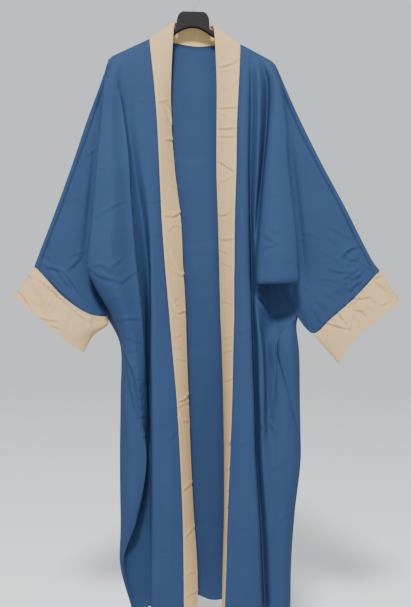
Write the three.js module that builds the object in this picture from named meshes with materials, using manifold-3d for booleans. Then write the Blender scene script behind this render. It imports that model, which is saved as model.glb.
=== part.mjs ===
// Open-front robe with cut-on sleeves, hanging on a moulded hanger.
// Millimetres. X runs to the right as seen from the front, Y runs back, Z runs up.
// The origin is the inner top of the hanger's hook, where a rail carries it.
import * as THREE from "three";
import { mergeVertices } from "three/addons/utils/BufferGeometryUtils.js";
import Module from "manifold-3d";

// ---------- driving sizes ----------
const SINGLE = { thick: 2.0, proud: 0 }; // single cloth wall
const DOUBLED = { thick: 3.0, proud: 0.5 }; // neckband and cuffs stand a little in front of it
const LONGEST_MITRE = 2; // the wall's inner corner at a sharp fold, in thicknesses
const OVER_ARM = 9; // how far down the cloth lies close over the hanger
const CLEARANCE = 0.1; // least space where two folds of cloth press together
const SEAM_GAP = 0.3; // space between two sewn pieces

const TILT = THREE.MathUtils.degToRad(1.7); // the hanger hangs a little lower on the right
const SHOULDER_SLOPE = THREE.MathUtils.degToRad(26.6);
const TIP_REACH = 208.5; // centre to shoulder tip, along the hanger
const TIP_DROP = 182.5; // hook to shoulder tip
const ARM_CLEARANCE = 3.9; // top of the cloth to the top of the hanger arm

const UNDERARM = 10; // level where sleeve and side part

// ---------- levels ----------
// Parts between one level and the next, from the shoulder ridge down to the hem.
const PARTS_DOWN = [1, 1, 2, 2, 2, 2, 2, 1, 2, 2, 2, 2, 2, 2, 2, 2];

// ---------- left front ----------
// Folds from the band seam outwards. Each fold is [across, back] at its level, or
// [across, back, height] where it leaves the level.
const LEFT_FOLDS = ["seam", "flat", "lip", "deep", "flank", "crest", "edge", "side"];
const LEFT_PARTS = [2, 2, 2, 2, 2, 2, 2];
const LEFT_RIDGE = { seam: -110, flat: -128, lip: -146, deep: -162, flank: -176, crest: -190, edge: -199,
  side: -205 };
const LEFT_FRONT = [
  { z: -240, seam: [-99, -20], flat: [-124, -25], lip: [-148, -24], deep: [-166, -22],
    flank: [-180, -25], crest: [-200, -37], edge: [-220, -30], side: [-212, -14] },
  { z: -340, seam: [-91, -22], flat: [-118, -28], lip: [-143, -26], deep: [-163, -20],
    flank: [-177, -26], crest: [-206, -49], edge: [-229, -38], side: [-217, -16] },
  { z: -460, seam: [-85, -24], flat: [-106, -31], lip: [-127, -30], deep: [-147, -18],
    flank: [-165, -30], crest: [-200, -62], edge: [-237, -50], side: [-220, -18] },
  { z: -585, seam: [-79, -26], flat: [-95, -35], lip: [-110, -36], deep: [-127, -14],
    flank: [-154, -34], crest: [-197, -75], edge: [-248, -59], side: [-227, -20] },
  { z: -695, seam: [-71, -28], flat: [-90, -38], lip: [-105, -42], deep: [-115, -10],
    flank: [-143, -36], crest: [-200, -87], edge: [-260, -68], side: [-236, -4] },
  { z: -741, seam: [-67, -30], flat: [-86, -40], lip: [-104, -45], deep: [-113, -8],
    flank: [-137, -36], crest: [-190, -85], edge: [-244, -61, -740], side: [-232, 10] },
  { z: -775, seam: [-64, -31], flat: [-83, -42], lip: [-103, -48], deep: [-112, -7],
    flank: [-132, -36], crest: [-180, -81], edge: [-227, -52, -773], side: [-222, 7] },
  { z: -820, seam: [-60, -32], flat: [-80, -44], lip: [-102, -50], deep: [-112, -6],
    flank: [-128, -36], crest: [-168, -73], edge: [-201, -44, -818], side: [-207, 0, -816] },
  { z: -890, seam: [-54, -34], flat: [-76, -46], lip: [-102, -52], deep: [-112, -5],
    flank: [-125, -34], crest: [-148, -62], edge: [-171, -52], side: [-177, -37] },
  { z: -1025, seam: [-42, -36], flat: [-68, -48], lip: [-101, -54], deep: [-111, -3],
    flank: [-117, -32], crest: [-131, -56], edge: [-142, -55], side: [-153, -48] },
  { z: -1160, seam: [-34, -38], flat: [-61, -50], lip: [-100, -54], deep: [-108, 1],
    flank: [-114, -3], crest: [-118, -15], edge: [-115, -30], side: [-116, -46] },
  { z: -1320, seam: [-27, -40], flat: [-54, -50], lip: [-100, -54], deep: [-110, 4],
    flank: [-128, 8], crest: [-148, 3], edge: [-156, -17], side: [-140, -42] },
  { z: -1435, seam: [-25, -40], flat: [-54, -50], lip: [-101, -52], deep: [-109, 6],
    flank: [-130, 9], crest: [-150, 6], edge: [-167, -3], side: [-176, -17] },
  { z: -1548, seam: [-24, -40], flat: [-54, -49], lip: [-102, -48], deep: [-109, 6],
    flank: [-122, 10, -1556], crest: [-134, 8, -1558], edge: [-145, 3, -1558], side: [-152, -4, -1558] },
];
// Front half of the left sleeve, from the body out to the overarm seam.
const SLEEVE_FOLDS = ["inner", "middle", "outer", "over"];
const SLEEVE_PARTS = [2, 2, 2, 2];
const LEFT_SLEEVE = [
  { inner: [-212, -10.5, -187], middle: [-214.5, -9, -190], outer: [-216, -7, -192], over: [-217.5, -5, -194] },
  { inner: [-216, -10, -240], middle: [-220, -8, -239], outer: [-223, -6, -238], over: [-226, -5, -237] },
  { inner: [-226, -13, -342], middle: [-236, -14, -340], outer: [-246, -11, -338], over: [-256, -5, -335] },
  { inner: [-236, -15, -464], middle: [-256, -18, -460], outer: [-277, -14, -456], over: [-297, -5, -451] },
  { inner: [-252, -18, -590], middle: [-282, -22, -582], outer: [-310, -17, -573], over: [-337, -5, -563] },
  { inner: [-262, -18, -700], middle: [-300, -24, -688], outer: [-335, -20, -668], over: [-368, -5, -645] },
  { inner: [-256, -14, -750], middle: [-302, -23, -734], outer: [-342, -19, -705], over: [-377, -5, -670] },
  { inner: [-246, -13, -783], middle: [-292, -22, -768], outer: [-340, -19, -731], over: [-383, -5, -686] },
  { inner: [-218, 0, -821], middle: [-257, -18, -817], outer: [-317, -17, -780], over: [-390, -5, -705] },
];

// ---------- right front ----------
const RIGHT_FOLDS = ["seam", "flat", "lip", "valley", "pleat", "crease", "inside", "crest", "edge", "side"];
const RIGHT_PARTS = [1, 1, 2, 2, 2, 2, 2, 2, 2];
const RIGHT_RIDGE = { seam: 115, flat: 125, lip: 134, valley: 142, pleat: 155, crease: 167, inside: 175,
  crest: 185, edge: 192, side: 196 };
const RIGHT_FRONT = [
  { z: -240, seam: [111, -20], flat: [123, -25], lip: [134, -24], valley: [143, -17], pleat: [160, -31],
    crease: [181, -15], inside: [188, -30], crest: [200, -38], edge: [211, -29], side: [205, -13] },
  { z: -340, seam: [106, -22], flat: [120, -28], lip: [133, -26], valley: [142, -15], pleat: [160, -34],
    crease: [180, -13], inside: [186, -41], crest: [203, -50], edge: [222, -40], side: [212, -14] },
  { z: -460, seam: [104, -24], flat: [119, -31], lip: [132, -29], valley: [140, -14], pleat: [156, -35],
    crease: [170, -14], inside: [175, -52], crest: [199, -62], edge: [228, -50], side: [214, -16] },
  { z: -585, seam: [100, -26], flat: [117, -34], lip: [133, -31], valley: [141, -12], pleat: [149, -31],
    crease: [157, -26], inside: [165, -62], crest: [199, -76], edge: [241, -62], side: [222, -18] },
  { z: -695, seam: [99, -28], flat: [117, -37], lip: [135, -34], valley: [143, -12], pleat: [148, -26],
    crease: [151, -42], inside: [155, -71], crest: [198, -88], edge: [249, -71], side: [236, -15] },
  { z: -741, seam: [98, -30], flat: [117, -39], lip: [136, -36], valley: [144, -12], pleat: [149, -26],
    crease: [152, -42], inside: [155, -70, -742], crest: [198, -85, -741], edge: [250, -68, -739],
    side: [241, -8, -747] },
  { z: -775, seam: [98, -31], flat: [117, -40], lip: [137, -37], valley: [144, -12], pleat: [150, -24],
    crease: [156, -27, -768], inside: [172, 0, -722], crest: [188, 14, -710], edge: [204, 10, -720],
    side: [246, 0, -780] },
  { z: -820, seam: [98, -32], flat: [117, -41], lip: [138, -38], valley: [145, -12], pleat: [154, -34],
    crease: [166, -24, -814], inside: [180, -2, -810], crest: [204, 18, -808], edge: [231, 12, -812],
    side: [257, 2, -821] },
  { z: -890, seam: [96, -34], flat: [116, -43], lip: [140, -40], valley: [147, -11], pleat: [163, -40],
    crease: [175, -6], inside: [184, -6], crest: [192, -12], edge: [199, -18], side: [205, -20] },
  { z: -1025, seam: [93, -36], flat: [115, -45], lip: [144, -42], valley: [152, -9], pleat: [167, -41],
    crease: [181, -14], inside: [196, -23], crest: [212, -30], edge: [226, -28], side: [238, -22] },
  { z: -1160, seam: [88, -38], flat: [112, -47], lip: [147, -44], valley: [155, -7], pleat: [168, -34],
    crease: [190, -29], inside: [211, -33], crest: [231, -32], edge: [251, -23], side: [265, -6] },
  { z: -1320, seam: [81, -40], flat: [108, -49], lip: [156, -44], valley: [166, -7], pleat: [179, -30],
    crease: [196, -32], inside: [212, -34], crest: [227, -31], edge: [240, -21], side: [249, -4] },
  { z: -1435, seam: [78, -40], flat: [107, -49], lip: [160, -43], valley: [172, -6], pleat: [185, -27],
    crease: [199, -31], inside: [212, -33], crest: [224, -29], edge: [234, -19], side: [241, -4] },
  { z: -1548, seam: [74, -40], flat: [106, -48], lip: [163, -41], valley: [177, -5], pleat: [188, -25],
    crease: [201, -29], inside: [213, -31], crest: [224, -28], edge: [233, -18], side: [239, -4] },
];
const RIGHT_SLEEVE = [
  { inner: [203, -10.5, -198], middle: [205, -9, -201], outer: [206.8, -7, -203], over: [208.5, -5, -205] },
  { inner: [208.5, -10, -240], middle: [211.5, -8, -239], outer: [214.5, -6, -238], over: [217, -5, -237] },
  { inner: [220, -11, -342], middle: [231, -13, -340], outer: [243, -10, -338], over: [254, -5, -335] },
  { inner: [231, -14, -464], middle: [256, -17, -460], outer: [281, -14, -452], over: [308, -5, -443] },
  { inner: [246, -16, -592], middle: [285, -22, -582], outer: [325, -18, -566], over: [365, -5, -548] },
  { inner: [262, -14, -708], middle: [310, -22, -690], outer: [360, -18, -666], over: [409, -5, -637] },
  { inner: [268, -15, -762], middle: [318, -21, -736], outer: [372, -17, -703], over: [427, -5, -667] },
  { inner: [278, -13, -805], middle: [327, -19, -772], outer: [384, -16, -728], over: [437, -5, -688] },
  { inner: [297, 0, -865], middle: [342, -14, -826], outer: [400, -13, -775], over: [452, -5, -720] },
];

// ---------- back ----------
// Half of the back on each side, from the side in to the centre, and the back of each sleeve.
const BACK_FOLDS = ["side", "wrap", "turn", "crest", "valley", "dip", "neck", "half"];
const BACK_PARTS = [2, 2, 2, 2, 2, 1, 2, 2];
const BACK_SLEEVE_FOLDS = ["fold", "outer", "middle", "inner"];
const BACK_SLEEVE_PARTS = [1, 2, 2, 2, 2];
const CENTRE_BACK = [[6, 31, -143], [6, 32, -152], [4, 36, -240], [2, 38, -340], [0, 38, -460], [0, 38, -585],
  [0, 38, -695], [0, 38, -741], [0, 38, -775], [0, 39, -820], [0, 40, -890], [0, 42, -1025], [0, 46, -1160],
  [0, 48, -1320], [0, 50, -1435], [0, 50, -1534]];
const LEFT_BACK = [
  { z: -240, side: [-213, 17], wrap: [-217, 27], turn: [-208, 33], crest: [-192, 31], valley: [-166, 27],
    dip: [-138, 27], neck: [-104, 31], half: [-54, 34] },
  { z: -340, side: [-221, 25], wrap: [-228, 40], turn: [-216, 51], crest: [-194, 51], valley: [-164, 31],
    dip: [-134, 33], neck: [-98, 37], half: [-52, 37] },
  { z: -460, side: [-228, 31], wrap: [-238, 50], turn: [-226, 66], crest: [-198, 69], valley: [-162, 36],
    dip: [-130, 37], neck: [-92, 41], half: [-50, 38] },
  { z: -585, side: [-234, 33], wrap: [-247, 58], turn: [-233, 76], crest: [-200, 82], valley: [-160, 42],
    dip: [-126, 39], neck: [-90, 44], half: [-48, 39] },
  { z: -695, side: [-236, 40], wrap: [-251, 60], turn: [-237, 81], crest: [-202, 88], valley: [-158, 48],
    dip: [-122, 41], neck: [-88, 46], half: [-46, 40] },
  { z: -741, side: [-230, 40], wrap: [-248, 56], turn: [-236, 80], crest: [-202, 89], valley: [-158, 50],
    dip: [-121, 42], neck: [-87, 47], half: [-46, 41] },
  { z: -775, side: [-221, 32], wrap: [-240, 48], turn: [-232, 76], crest: [-200, 88], valley: [-157, 52],
    dip: [-120, 43], neck: [-86, 48], half: [-45, 42] },
  { z: -820, side: [-207, 0, -816], wrap: [-222, 30], turn: [-221, 64], crest: [-196, 84], valley: [-156, 54],
    dip: [-119, 44], neck: [-85, 49], half: [-44, 43] },
  { z: -890, side: [-177, -37], wrap: [-184, -14], turn: [-186, 22], crest: [-184, 70], valley: [-154, 58],
    dip: [-118, 46], neck: [-84, 51], half: [-44, 45] },
  { z: -1025, side: [-153, -48], wrap: [-173, -38], turn: [-184, -2], crest: [-178, 56], valley: [-148, 64],
    dip: [-112, 50], neck: [-80, 56], half: [-42, 48] },
  { z: -1160, side: [-116, -46], wrap: [-150, -50], turn: [-182, -20], crest: [-177, 44], valley: [-144, 66],
    dip: [-108, 52], neck: [-78, 60], half: [-40, 51] },
  { z: -1320, side: [-140, -42], wrap: [-163, -46], turn: [-182, -16], crest: [-177, 40], valley: [-144, 66],
    dip: [-106, 54], neck: [-76, 62], half: [-38, 52] },
  { z: -1435, side: [-176, -17], wrap: [-185, -4], turn: [-184, 16], crest: [-172, 46], valley: [-142, 64],
    dip: [-106, 54], neck: [-76, 62], half: [-38, 52] },
  { z: -1548, side: [-152, -4, -1558], wrap: [-155, 6, -1558], turn: [-153, 20, -1556],
    crest: [-146, 40], valley: [-128, 58], dip: [-100, 56], neck: [-74, 61, -1546], half: [-38, 54, -1540] },
];
const RIGHT_BACK = [
  { z: -240, side: [206, 15], wrap: [210, 26], turn: [203, 33], crest: [186, 31], valley: [162, 27],
    dip: [138, 27], neck: [108, 31], half: [60, 34] },
  { z: -340, side: [214, 23], wrap: [222, 38], turn: [212, 50], crest: [190, 50], valley: [160, 31],
    dip: [136, 33], neck: [104, 37], half: [56, 37] },
  { z: -460, side: [220, 29], wrap: [234, 48], turn: [223, 64], crest: [194, 68], valley: [158, 36],
    dip: [132, 37], neck: [98, 41], half: [52, 38] },
  { z: -585, side: [228, 31], wrap: [244, 56], turn: [233, 74], crest: [198, 81], valley: [157, 42],
    dip: [128, 39], neck: [94, 43], half: [50, 39] },
  { z: -695, side: [234, 29], wrap: [252, 58], turn: [241, 78], crest: [203, 87], valley: [156, 47],
    dip: [124, 41], neck: [90, 45], half: [48, 40] },
  { z: -741, side: [238, 23], wrap: [256, 54], turn: [246, 77], crest: [206, 87], valley: [156, 49],
    dip: [123, 42], neck: [89, 46], half: [47, 41] },
  { z: -775, side: [244, 22], wrap: [261, 46], turn: [251, 73], crest: [209, 86], valley: [157, 51],
    dip: [122, 43], neck: [88, 47], half: [46, 42] },
  { z: -820, side: [257, 2, -821], wrap: [264, 30], turn: [257, 64], crest: [214, 84], valley: [160, 53],
    dip: [122, 44], neck: [88, 48], half: [46, 43] },
  { z: -890, side: [205, -20], wrap: [238, -27], turn: [261, 2], crest: [250, 62], valley: [182, 62],
    dip: [130, 48], neck: [90, 50], half: [46, 45] },
  { z: -1025, side: [238, -22], wrap: [256, -15], turn: [266, 8], crest: [256, 60], valley: [192, 66],
    dip: [138, 50], neck: [92, 54], half: [46, 48] },
  { z: -1160, side: [265, -6], wrap: [268, 6], turn: [266, 26], crest: [251, 60], valley: [190, 66],
    dip: [138, 52], neck: [92, 57], half: [46, 50] },
  { z: -1320, side: [249, -4], wrap: [252, 8], turn: [250, 26], crest: [237, 56], valley: [184, 64],
    dip: [136, 52], neck: [92, 58], half: [46, 51] },
  { z: -1435, side: [241, -4], wrap: [244, 8], turn: [243, 24], crest: [232, 54], valley: [182, 62],
    dip: [134, 52], neck: [91, 58], half: [46, 52] },
  { z: -1548, side: [239, -4], wrap: [242, 8], turn: [241, 22], crest: [230, 50], valley: [180, 60],
    dip: [132, 52], neck: [90, 58], half: [46, 53, -1550] },
];
const LEFT_SLEEVE_BACK = [
  { fold: [-219.5, 0, -195], outer: [-216, 7, -192], middle: [-214, 9.5, -190], inner: [-212, 11, -188] },
  { fold: [-230, 0, -231], outer: [-227, 8, -238], middle: [-223, 12, -239], inner: [-218, 15, -240] },
  { fold: [-267, 0, -331], outer: [-256, 12, -338], middle: [-244, 18, -340], inner: [-232, 22, -342] },
  { fold: [-307, 0, -450], outer: [-290, 16, -456], middle: [-268, 24, -460], inner: [-246, 28, -464] },
  { fold: [-347, 0, -560], outer: [-322, 18, -573], middle: [-292, 27, -582], inner: [-260, 30, -590] },
  { fold: [-378, 0, -641], outer: [-346, 18, -668], middle: [-308, 28, -688], inner: [-268, 28, -700] },
  { fold: [-388, 0, -667], outer: [-350, 17, -705], middle: [-308, 26, -734], inner: [-262, 22, -750] },
  { fold: [-394, 0, -683], outer: [-347, 17, -731], middle: [-298, 24, -768], inner: [-250, 15, -783] },
  { fold: [-400, 0, -699], outer: [-322, 16, -780], middle: [-262, 17, -818], inner: [-218, 0, -821] },
];
const RIGHT_SLEEVE_BACK = [
  { fold: [210.5, 0, -206], outer: [207, 7, -203], middle: [205, 9.5, -201], inner: [203, 11, -199] },
  { fold: [220, 0, -231], outer: [217.5, 8, -238], middle: [214, 12, -239], inner: [210, 14, -240] },
  { fold: [265, 0, -331], outer: [250, 11, -338], middle: [237, 17, -340], inner: [224, 20, -342] },
  { fold: [319, 0, -440], outer: [293, 15, -452], middle: [266, 23, -460], inner: [239, 27, -464] },
  { fold: [376, 0, -546], outer: [335, 17, -566], middle: [294, 26, -582], inner: [254, 29, -592] },
  { fold: [420, 0, -634], outer: [370, 18, -666], middle: [318, 27, -690], inner: [268, 27, -708] },
  { fold: [437, 0, -667], outer: [381, 17, -703], middle: [325, 25, -736], inner: [274, 20, -762] },
  { fold: [447, 0, -685], outer: [391, 16, -728], middle: [333, 22, -772], inner: [281, 16, -805] },
  { fold: [465, 0, -709], outer: [404, 13, -776], middle: [345, 14, -827], inner: [297, 0, -865] },
];

// ---------- neckband ----------
// Free edge of each band, from the centre back over the shoulder and down the front.
const BAND_CENTRE = { seam: [8, 30, -139], free: [8, 33, -84] };
// The neckline crosses the arm at the nape points, then runs behind it.
const LEFT_NECK = { nape: [-103, 13, -130], half: [-57, 23, -131] };
const RIGHT_NECK = { nape: [108, 13, -143], half: [62, 23, -137] };
const LEFT_BAND_BACK = [-34, 24, -84];
const RIGHT_BAND_BACK = [40, 24, -88];
const LEFT_BAND_FREE = [[-48, 2, -86], [-49, -6, -93], [-51, -12, -113], [-58, 4, -240], [-57, 13, -340],
  [-48, 13, -460], [-33, 13, -585], [-28, 14, -695], [-25, 13, -741], [-23, 13, -775], [-21, 13, -820],
  [-19, 13, -890], [-14, 14, -1025], [-9, 14, -1160], [-1, 13, -1320], [7, 8, -1435], [10, 4, -1548]];
const RIGHT_BAND_FREE = [[48, 2, -94], [49, -6, -101], [51, -12, -122], [57, 1, -240], [57, 8, -340],
  [57, 11, -460], [61, 14, -585], [64, 16, -695], [65, 17, -741], [66, 17, -775], [67, 18, -820],
  [70, 18, -890], [74, 18, -1025], [76, 19, -1160], [76, 18, -1320], [73, 17, -1435], [71, 16, -1548]];
const BAND_CROWN = 2; // the doubled cloth swells this far at the middle of the band
const BAND_PARTS = [2, 2];

// ---------- cuffs ----------
// Round each cuff: front from the sleeve's inner end to the overarm, then the back.
const CUFF_FOLDS = ["end", "middle", "outer", "over", "fold", "outerBack", "middleBack"];
const CUFF_PARTS = [1, 1, 2];
const LEFT_CUFF = [
  { end: [-215, 2, -841], middle: [-272, -24, -842], outer: [-334, -22, -800], over: [-406, -9, -731],
    fold: [-417, 0, -725], outerBack: [-336, 24, -798], middleBack: [-264, 25, -838] },
  { end: [-252, 0, -870], middle: [-290, -26, -866], outer: [-350, -25, -820], over: [-424, -10, -756],
    fold: [-435, 0, -750], outerBack: [-354, 26, -816], middleBack: [-284, 27, -857] },
  { end: [-275, -6, -911], middle: [-308, -22, -889], outer: [-366, -22, -839], over: [-441, -10, -780],
    fold: [-452, 0, -774], outerBack: [-371, 26, -833], middleBack: [-304, 26, -874] },
];
const RIGHT_CUFF = [
  { end: [318, 0, -889], middle: [357, -20, -845], outer: [412, -18, -797], over: [468, -9, -744],
    fold: [482, 0, -736], outerBack: [415, 20, -798], middleBack: [360, 22, -847] },
  { end: [339, -1, -914], middle: [375, -23, -864], outer: [427, -21, -819], over: [486, -10, -771],
    fold: [500, 0, -762], outerBack: [430, 23, -820], middleBack: [378, 25, -867] },
  { end: [360, -4, -938], middle: [393, -21, -884], outer: [441, -20, -841], over: [503, -10, -797],
    fold: [517, 0, -789], outerBack: [445, 23, -842], middleBack: [396, 25, -886] },
];

// ---------- hanger ----------
const ARM_THICK = 12; // front to back
const ARM_EDGE = 3.5; // slope along the arm's edges
const ARM_ROOT_HEIGHT = 15;
const ARM_TIP_HEIGHT = 17;
const HEAD_TOP = -61;
const HEAD_TOP_HALF = 26;
const HEAD_SIDE_HALF = 40;
const HEAD_SHOULDER = -79;
const ARCH_TOP = -101;
const ARCH_HALF = 44;
const WIRE = 4;
const HOOK_INNER = 19; // radius of the hook's inside
const SOCKET_DEPTH = 12;

// ---------- colours ----------
const BLUE = new THREE.MeshStandardMaterial({ color: 0x47618a, roughness: 0.72, metalness: 0 });
const CREAM = new THREE.MeshStandardMaterial({ color: 0xcab79b, roughness: 0.8, metalness: 0 });
const BLACK = new THREE.MeshStandardMaterial({ color: 0x232325, roughness: 0.45, metalness: 0 });
const STEEL = new THREE.MeshStandardMaterial({ color: 0xb9bcc0, roughness: 0.25, metalness: 1 });

// ---------- smooth curves ----------
const point = (p, height) => new THREE.Vector3(p[0], p[1], p.length > 2 ? p[2] : height);

// Points along a smooth curve through the given ones, with the given parts in each span.
function smooth(points, parts) {
  const curve = new THREE.CatmullRomCurve3(points, false, "centripetal");
  const spans = points.length - 1;
  const found = [points[0].clone()];
  parts.forEach((count, span) => {
    for (let k = 1; k <= count; k += 1) {
      found.push(k === count ? points[span + 1].clone() : curve.getPoint((span + k / count) / spans));
    }
  });
  return found;
}

// Every column of the rows drawn out smoothly along the rows. A column in `cut` turns a
// corner at the given row, so that two panels can share what lies on each side of it.
function along(rows, parts, cut = {}) {
  const columns = rows[0].map((_, c) => {
    const line = rows.map((row) => row[c]);
    if (cut.column !== c) return smooth(line, parts);
    const before = smooth(line.slice(0, cut.row + 1), parts.slice(0, cut.row));
    const after = smooth(line.slice(cut.row), parts.slice(cut.row));
    return before.concat(after.slice(1));
  });
  return columns[0].map((_, r) => columns.map((column) => column[r]));
}

const rowOf = (names, values) => names.map((name) => point(values[name], values.z));
const total = (parts) => parts.reduce((sum, n) => sum + n, 0);

// ---------- shoulder ridge ----------
function turned(x, z) {
  return [x * Math.cos(TILT) + z * Math.sin(TILT), -x * Math.sin(TILT) + z * Math.cos(TILT)];
}

function ridge(side, x) {
  const [tipX, tipZ] = turned(side * TIP_REACH, -TIP_DROP);
  const slope = Math.tan(SHOULDER_SLOPE + side * TILT);
  return new THREE.Vector3(x, 0, tipZ + (Math.abs(tipX) - Math.abs(x)) * slope);
}

const tip = (side) => ridge(side, turned(side * TIP_REACH, -TIP_DROP)[0]);

// The cloth turns over the arm in two short steps, to the front (-1) or the back (+1).
const TURN_OVER = [{ back: 7, drop: 2.5 }, { back: 12, drop: 12 }];

function overArm(names, xs, side, facing, step) {
  return names.map((name) => {
    const p = ridge(side, xs[name]);
    return new THREE.Vector3(p.x, facing * TURN_OVER[step].back, p.z - TURN_OVER[step].drop);
  });
}

// Places of the sleeve's folds where they gather at the shoulder tip.
function tipRow(side, facing, step, names) {
  const p = tip(side);
  const out = { inner: -2.6, middle: -1.2, outer: 0.3, over: 1.4, fold: 2.4 };
  const depth = { inner: 6.4, middle: 5.4, outer: 4.2, over: 2.6, fold: 0 };
  const drop = { inner: 3, middle: 4.5, outer: 6, over: 7, fold: 7.5 };
  const gather = { inner: 5.6, middle: 3.6, outer: 1.8, over: 0, fold: 0 };
  return names.map((name) => (step === 0
    ? ridge(side, p.x - side * gather[name])
    : new THREE.Vector3(p.x + side * out[name], facing * depth[name], p.z - drop[name])));
}

// ---------- the cloth as one skin ----------
const skin = { places: [], keys: new Map(), faces: [], mitre: [] };

function vertex(p) {
  const key = [p.x, p.y, p.z].map((v) => Math.round(v * 500)).join(",");
  if (!skin.keys.has(key)) {
    skin.keys.set(key, skin.places.length);
    skin.places.push(p.clone());
  }
  return skin.keys.get(key);
}

function addPatch(panel, rows, flip) {
  const ids = rows.map((row) => row.map(vertex));
  for (let r = 0; r + 1 < ids.length; r += 1) {
    const width = Math.min(ids[r].length, ids[r + 1].length);
    for (let c = 0; c + 1 < width; c += 1) {
      const quad = [ids[r][c], ids[r][c + 1], ids[r + 1][c + 1], ids[r + 1][c]];
      if (flip) quad.reverse();
      skin.faces.push({ panel, quad });
    }
  }
}

// ---------- fronts ----------
function frontRows(side, folds, parts, ridgeXs, body, sleeve) {
  const names = SLEEVE_FOLDS;
  const top = [0, 1, 2].map((step) => {
    const panel = step === 0 ? folds.map((name) => ridge(side, ridgeXs[name]))
      : overArm(folds, ridgeXs, side, -1, step - 1);
    const arm = step < 2 ? tipRow(side, -1, step, names) : rowOf(names, sleeve[0]);
    return panel.concat(arm);
  });
  const upper = body.slice(0, UNDERARM - 2).map((row, i) => rowOf(folds, row).concat(rowOf(names, sleeve[i + 1])));
  const levels = top.concat(upper).map((row) => smooth(row, parts.concat(SLEEVE_PARTS)));
  const lower = body.slice(UNDERARM - 2).map((row) => smooth(rowOf(folds, row), parts));
  return { levels, lower, width: total(parts) + 1 };
}

function frontPatches(panel, front, flip) {
  const { levels, lower, width } = front;
  const bodyRows = levels.map((row) => row.slice(0, width)).concat(lower);
  const cut = { column: width - 1, row: UNDERARM };
  const bodyFine = along(bodyRows, PARTS_DOWN, cut);
  const armFine = along(levels.map((row) => row.slice(width - 1)), PARTS_DOWN.slice(0, UNDERARM));
  addPatch(panel, bodyFine, flip);
  addPatch(panel, armFine, flip);
  return { seam: bodyFine.map((row) => row[0]), cuffRow: armFine[armFine.length - 1] };
}

// ---------- back ----------
const RIDGE_BACK = { side: 0.06, wrap: 0.1, turn: 0.15, crest: 0.24, valley: 0.43, dip: 0.7, neck: 1 };

function backHalf(side, ridgeXs, body, sleeve, neckHalf) {
  const xs = {};
  const tipX = tip(side).x;
  Object.keys(RIDGE_BACK).forEach((name) => {
    xs[name] = THREE.MathUtils.lerp(tipX, ridgeXs.seam, RIDGE_BACK[name]);
  });
  xs.side = ridgeXs.side;
  const shoulder = BACK_FOLDS.slice(0, -1);
  const rows = [0, 1, 2].map((step) => {
    const arm = step < 2 ? tipRow(side, 1, step, BACK_SLEEVE_FOLDS) : rowOf(BACK_SLEEVE_FOLDS, sleeve[0]);
    const panel = step === 0 ? shoulder.map((name) => ridge(side, xs[name]))
      : overArm(shoulder, xs, side, 1, step - 1);
    const fall = step === 0 ? 0 : [4, 13][step - 1];
    const behind = new THREE.Vector3(neckHalf[0], neckHalf[1] + fall / 4, neckHalf[2] - fall);
    return arm.concat(panel, [behind]);
  });
  body.slice(0, UNDERARM - 2).forEach((row, i) => {
    rows.push(rowOf(BACK_SLEEVE_FOLDS, sleeve[i + 1]).concat(rowOf(BACK_FOLDS, row)));
  });
  body.slice(UNDERARM - 2).forEach((row) => rows.push(rowOf(BACK_FOLDS, row)));
  return rows;
}

function backPatches(leftOver, rightOver) {
  const left = backHalf(-1, LEFT_RIDGE, LEFT_BACK, LEFT_SLEEVE_BACK, LEFT_NECK.half);
  const right = backHalf(1, RIGHT_RIDGE, RIGHT_BACK, RIGHT_SLEEVE_BACK, RIGHT_NECK.half);
  const centre = [point(BAND_CENTRE.seam)].concat(CENTRE_BACK.map((p) => point(p)));
  const mirror = (list) => list.slice().reverse();
  const armParts = BACK_SLEEVE_PARTS;
  const levels = left.map((row, level) => {
    const whole = level <= UNDERARM;
    const l = whole ? [leftOver[level]].concat(row) : row;
    const r = whole ? [rightOver[level]].concat(right[level]) : right[level];
    const half = whole ? armParts.concat(BACK_PARTS) : BACK_PARTS;
    const line = l.concat([centre[level]], mirror(r));
    if (level > 0) return smooth(line, half.concat(mirror(half)));
    return backTopRow(line, half);
  });
  const arm = total(armParts);
  const body = total(BACK_PARTS) * 2;
  const bodyRows = levels.map((row, i) => (i <= UNDERARM ? row.slice(arm, arm + body + 1) : row));
  const upper = levels.slice(0, UNDERARM + 1);
  const sleeveParts = PARTS_DOWN.slice(0, UNDERARM);
  const bodyFine = alongBothSides(bodyRows);
  const leftArm = along(upper.map((row) => row.slice(0, arm + 1)), sleeveParts);
  const rightArm = along(upper.map((row) => row.slice(arm + body)), sleeveParts);
  [bodyFine, leftArm, rightArm].forEach((rows) => addPatch("back", rows, false));
  return { neckRow: bodyFine[0], leftCuff: leftArm[leftArm.length - 1], rightCuff: rightArm[rightArm.length - 1] };
}

// The back's top row is straight on each shoulder ridge and a curve between them.
function backTopRow(line, half) {
  const shoulder = half.length - 2;
  const straight = (points, parts) => {
    const found = [points[0].clone()];
    parts.forEach((count, i) => {
      for (let k = 1; k <= count; k += 1) found.push(points[i].clone().lerp(points[i + 1], k / count));
    });
    return found;
  };
  const last = line.length - 1;
  const leftPart = straight(line.slice(0, shoulder + 1), half.slice(0, shoulder));
  const neckLine = line.slice(shoulder, last - shoulder + 1);
  neckLine.splice(1, 0, point(LEFT_NECK.nape));
  neckLine.splice(neckLine.length - 1, 0, point(RIGHT_NECK.nape));
  const neckPart = smooth(neckLine, [1, 1, 2, 2, 1, 1]);
  const rightPart = straight(line.slice(last - shoulder), half.slice(0, shoulder).reverse());
  return leftPart.concat(neckPart.slice(1), rightPart.slice(1));
}

// The back's two side edges both turn a corner at the underarm.
function alongBothSides(rows) {
  const right = along(rows, PARTS_DOWN, { column: rows[0].length - 1, row: UNDERARM });
  const left = along(rows, PARTS_DOWN, { column: 0, row: UNDERARM });
  return left.map((row, r) => row.slice(0, -1).concat([right[r][right[r].length - 1]]));
}

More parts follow.
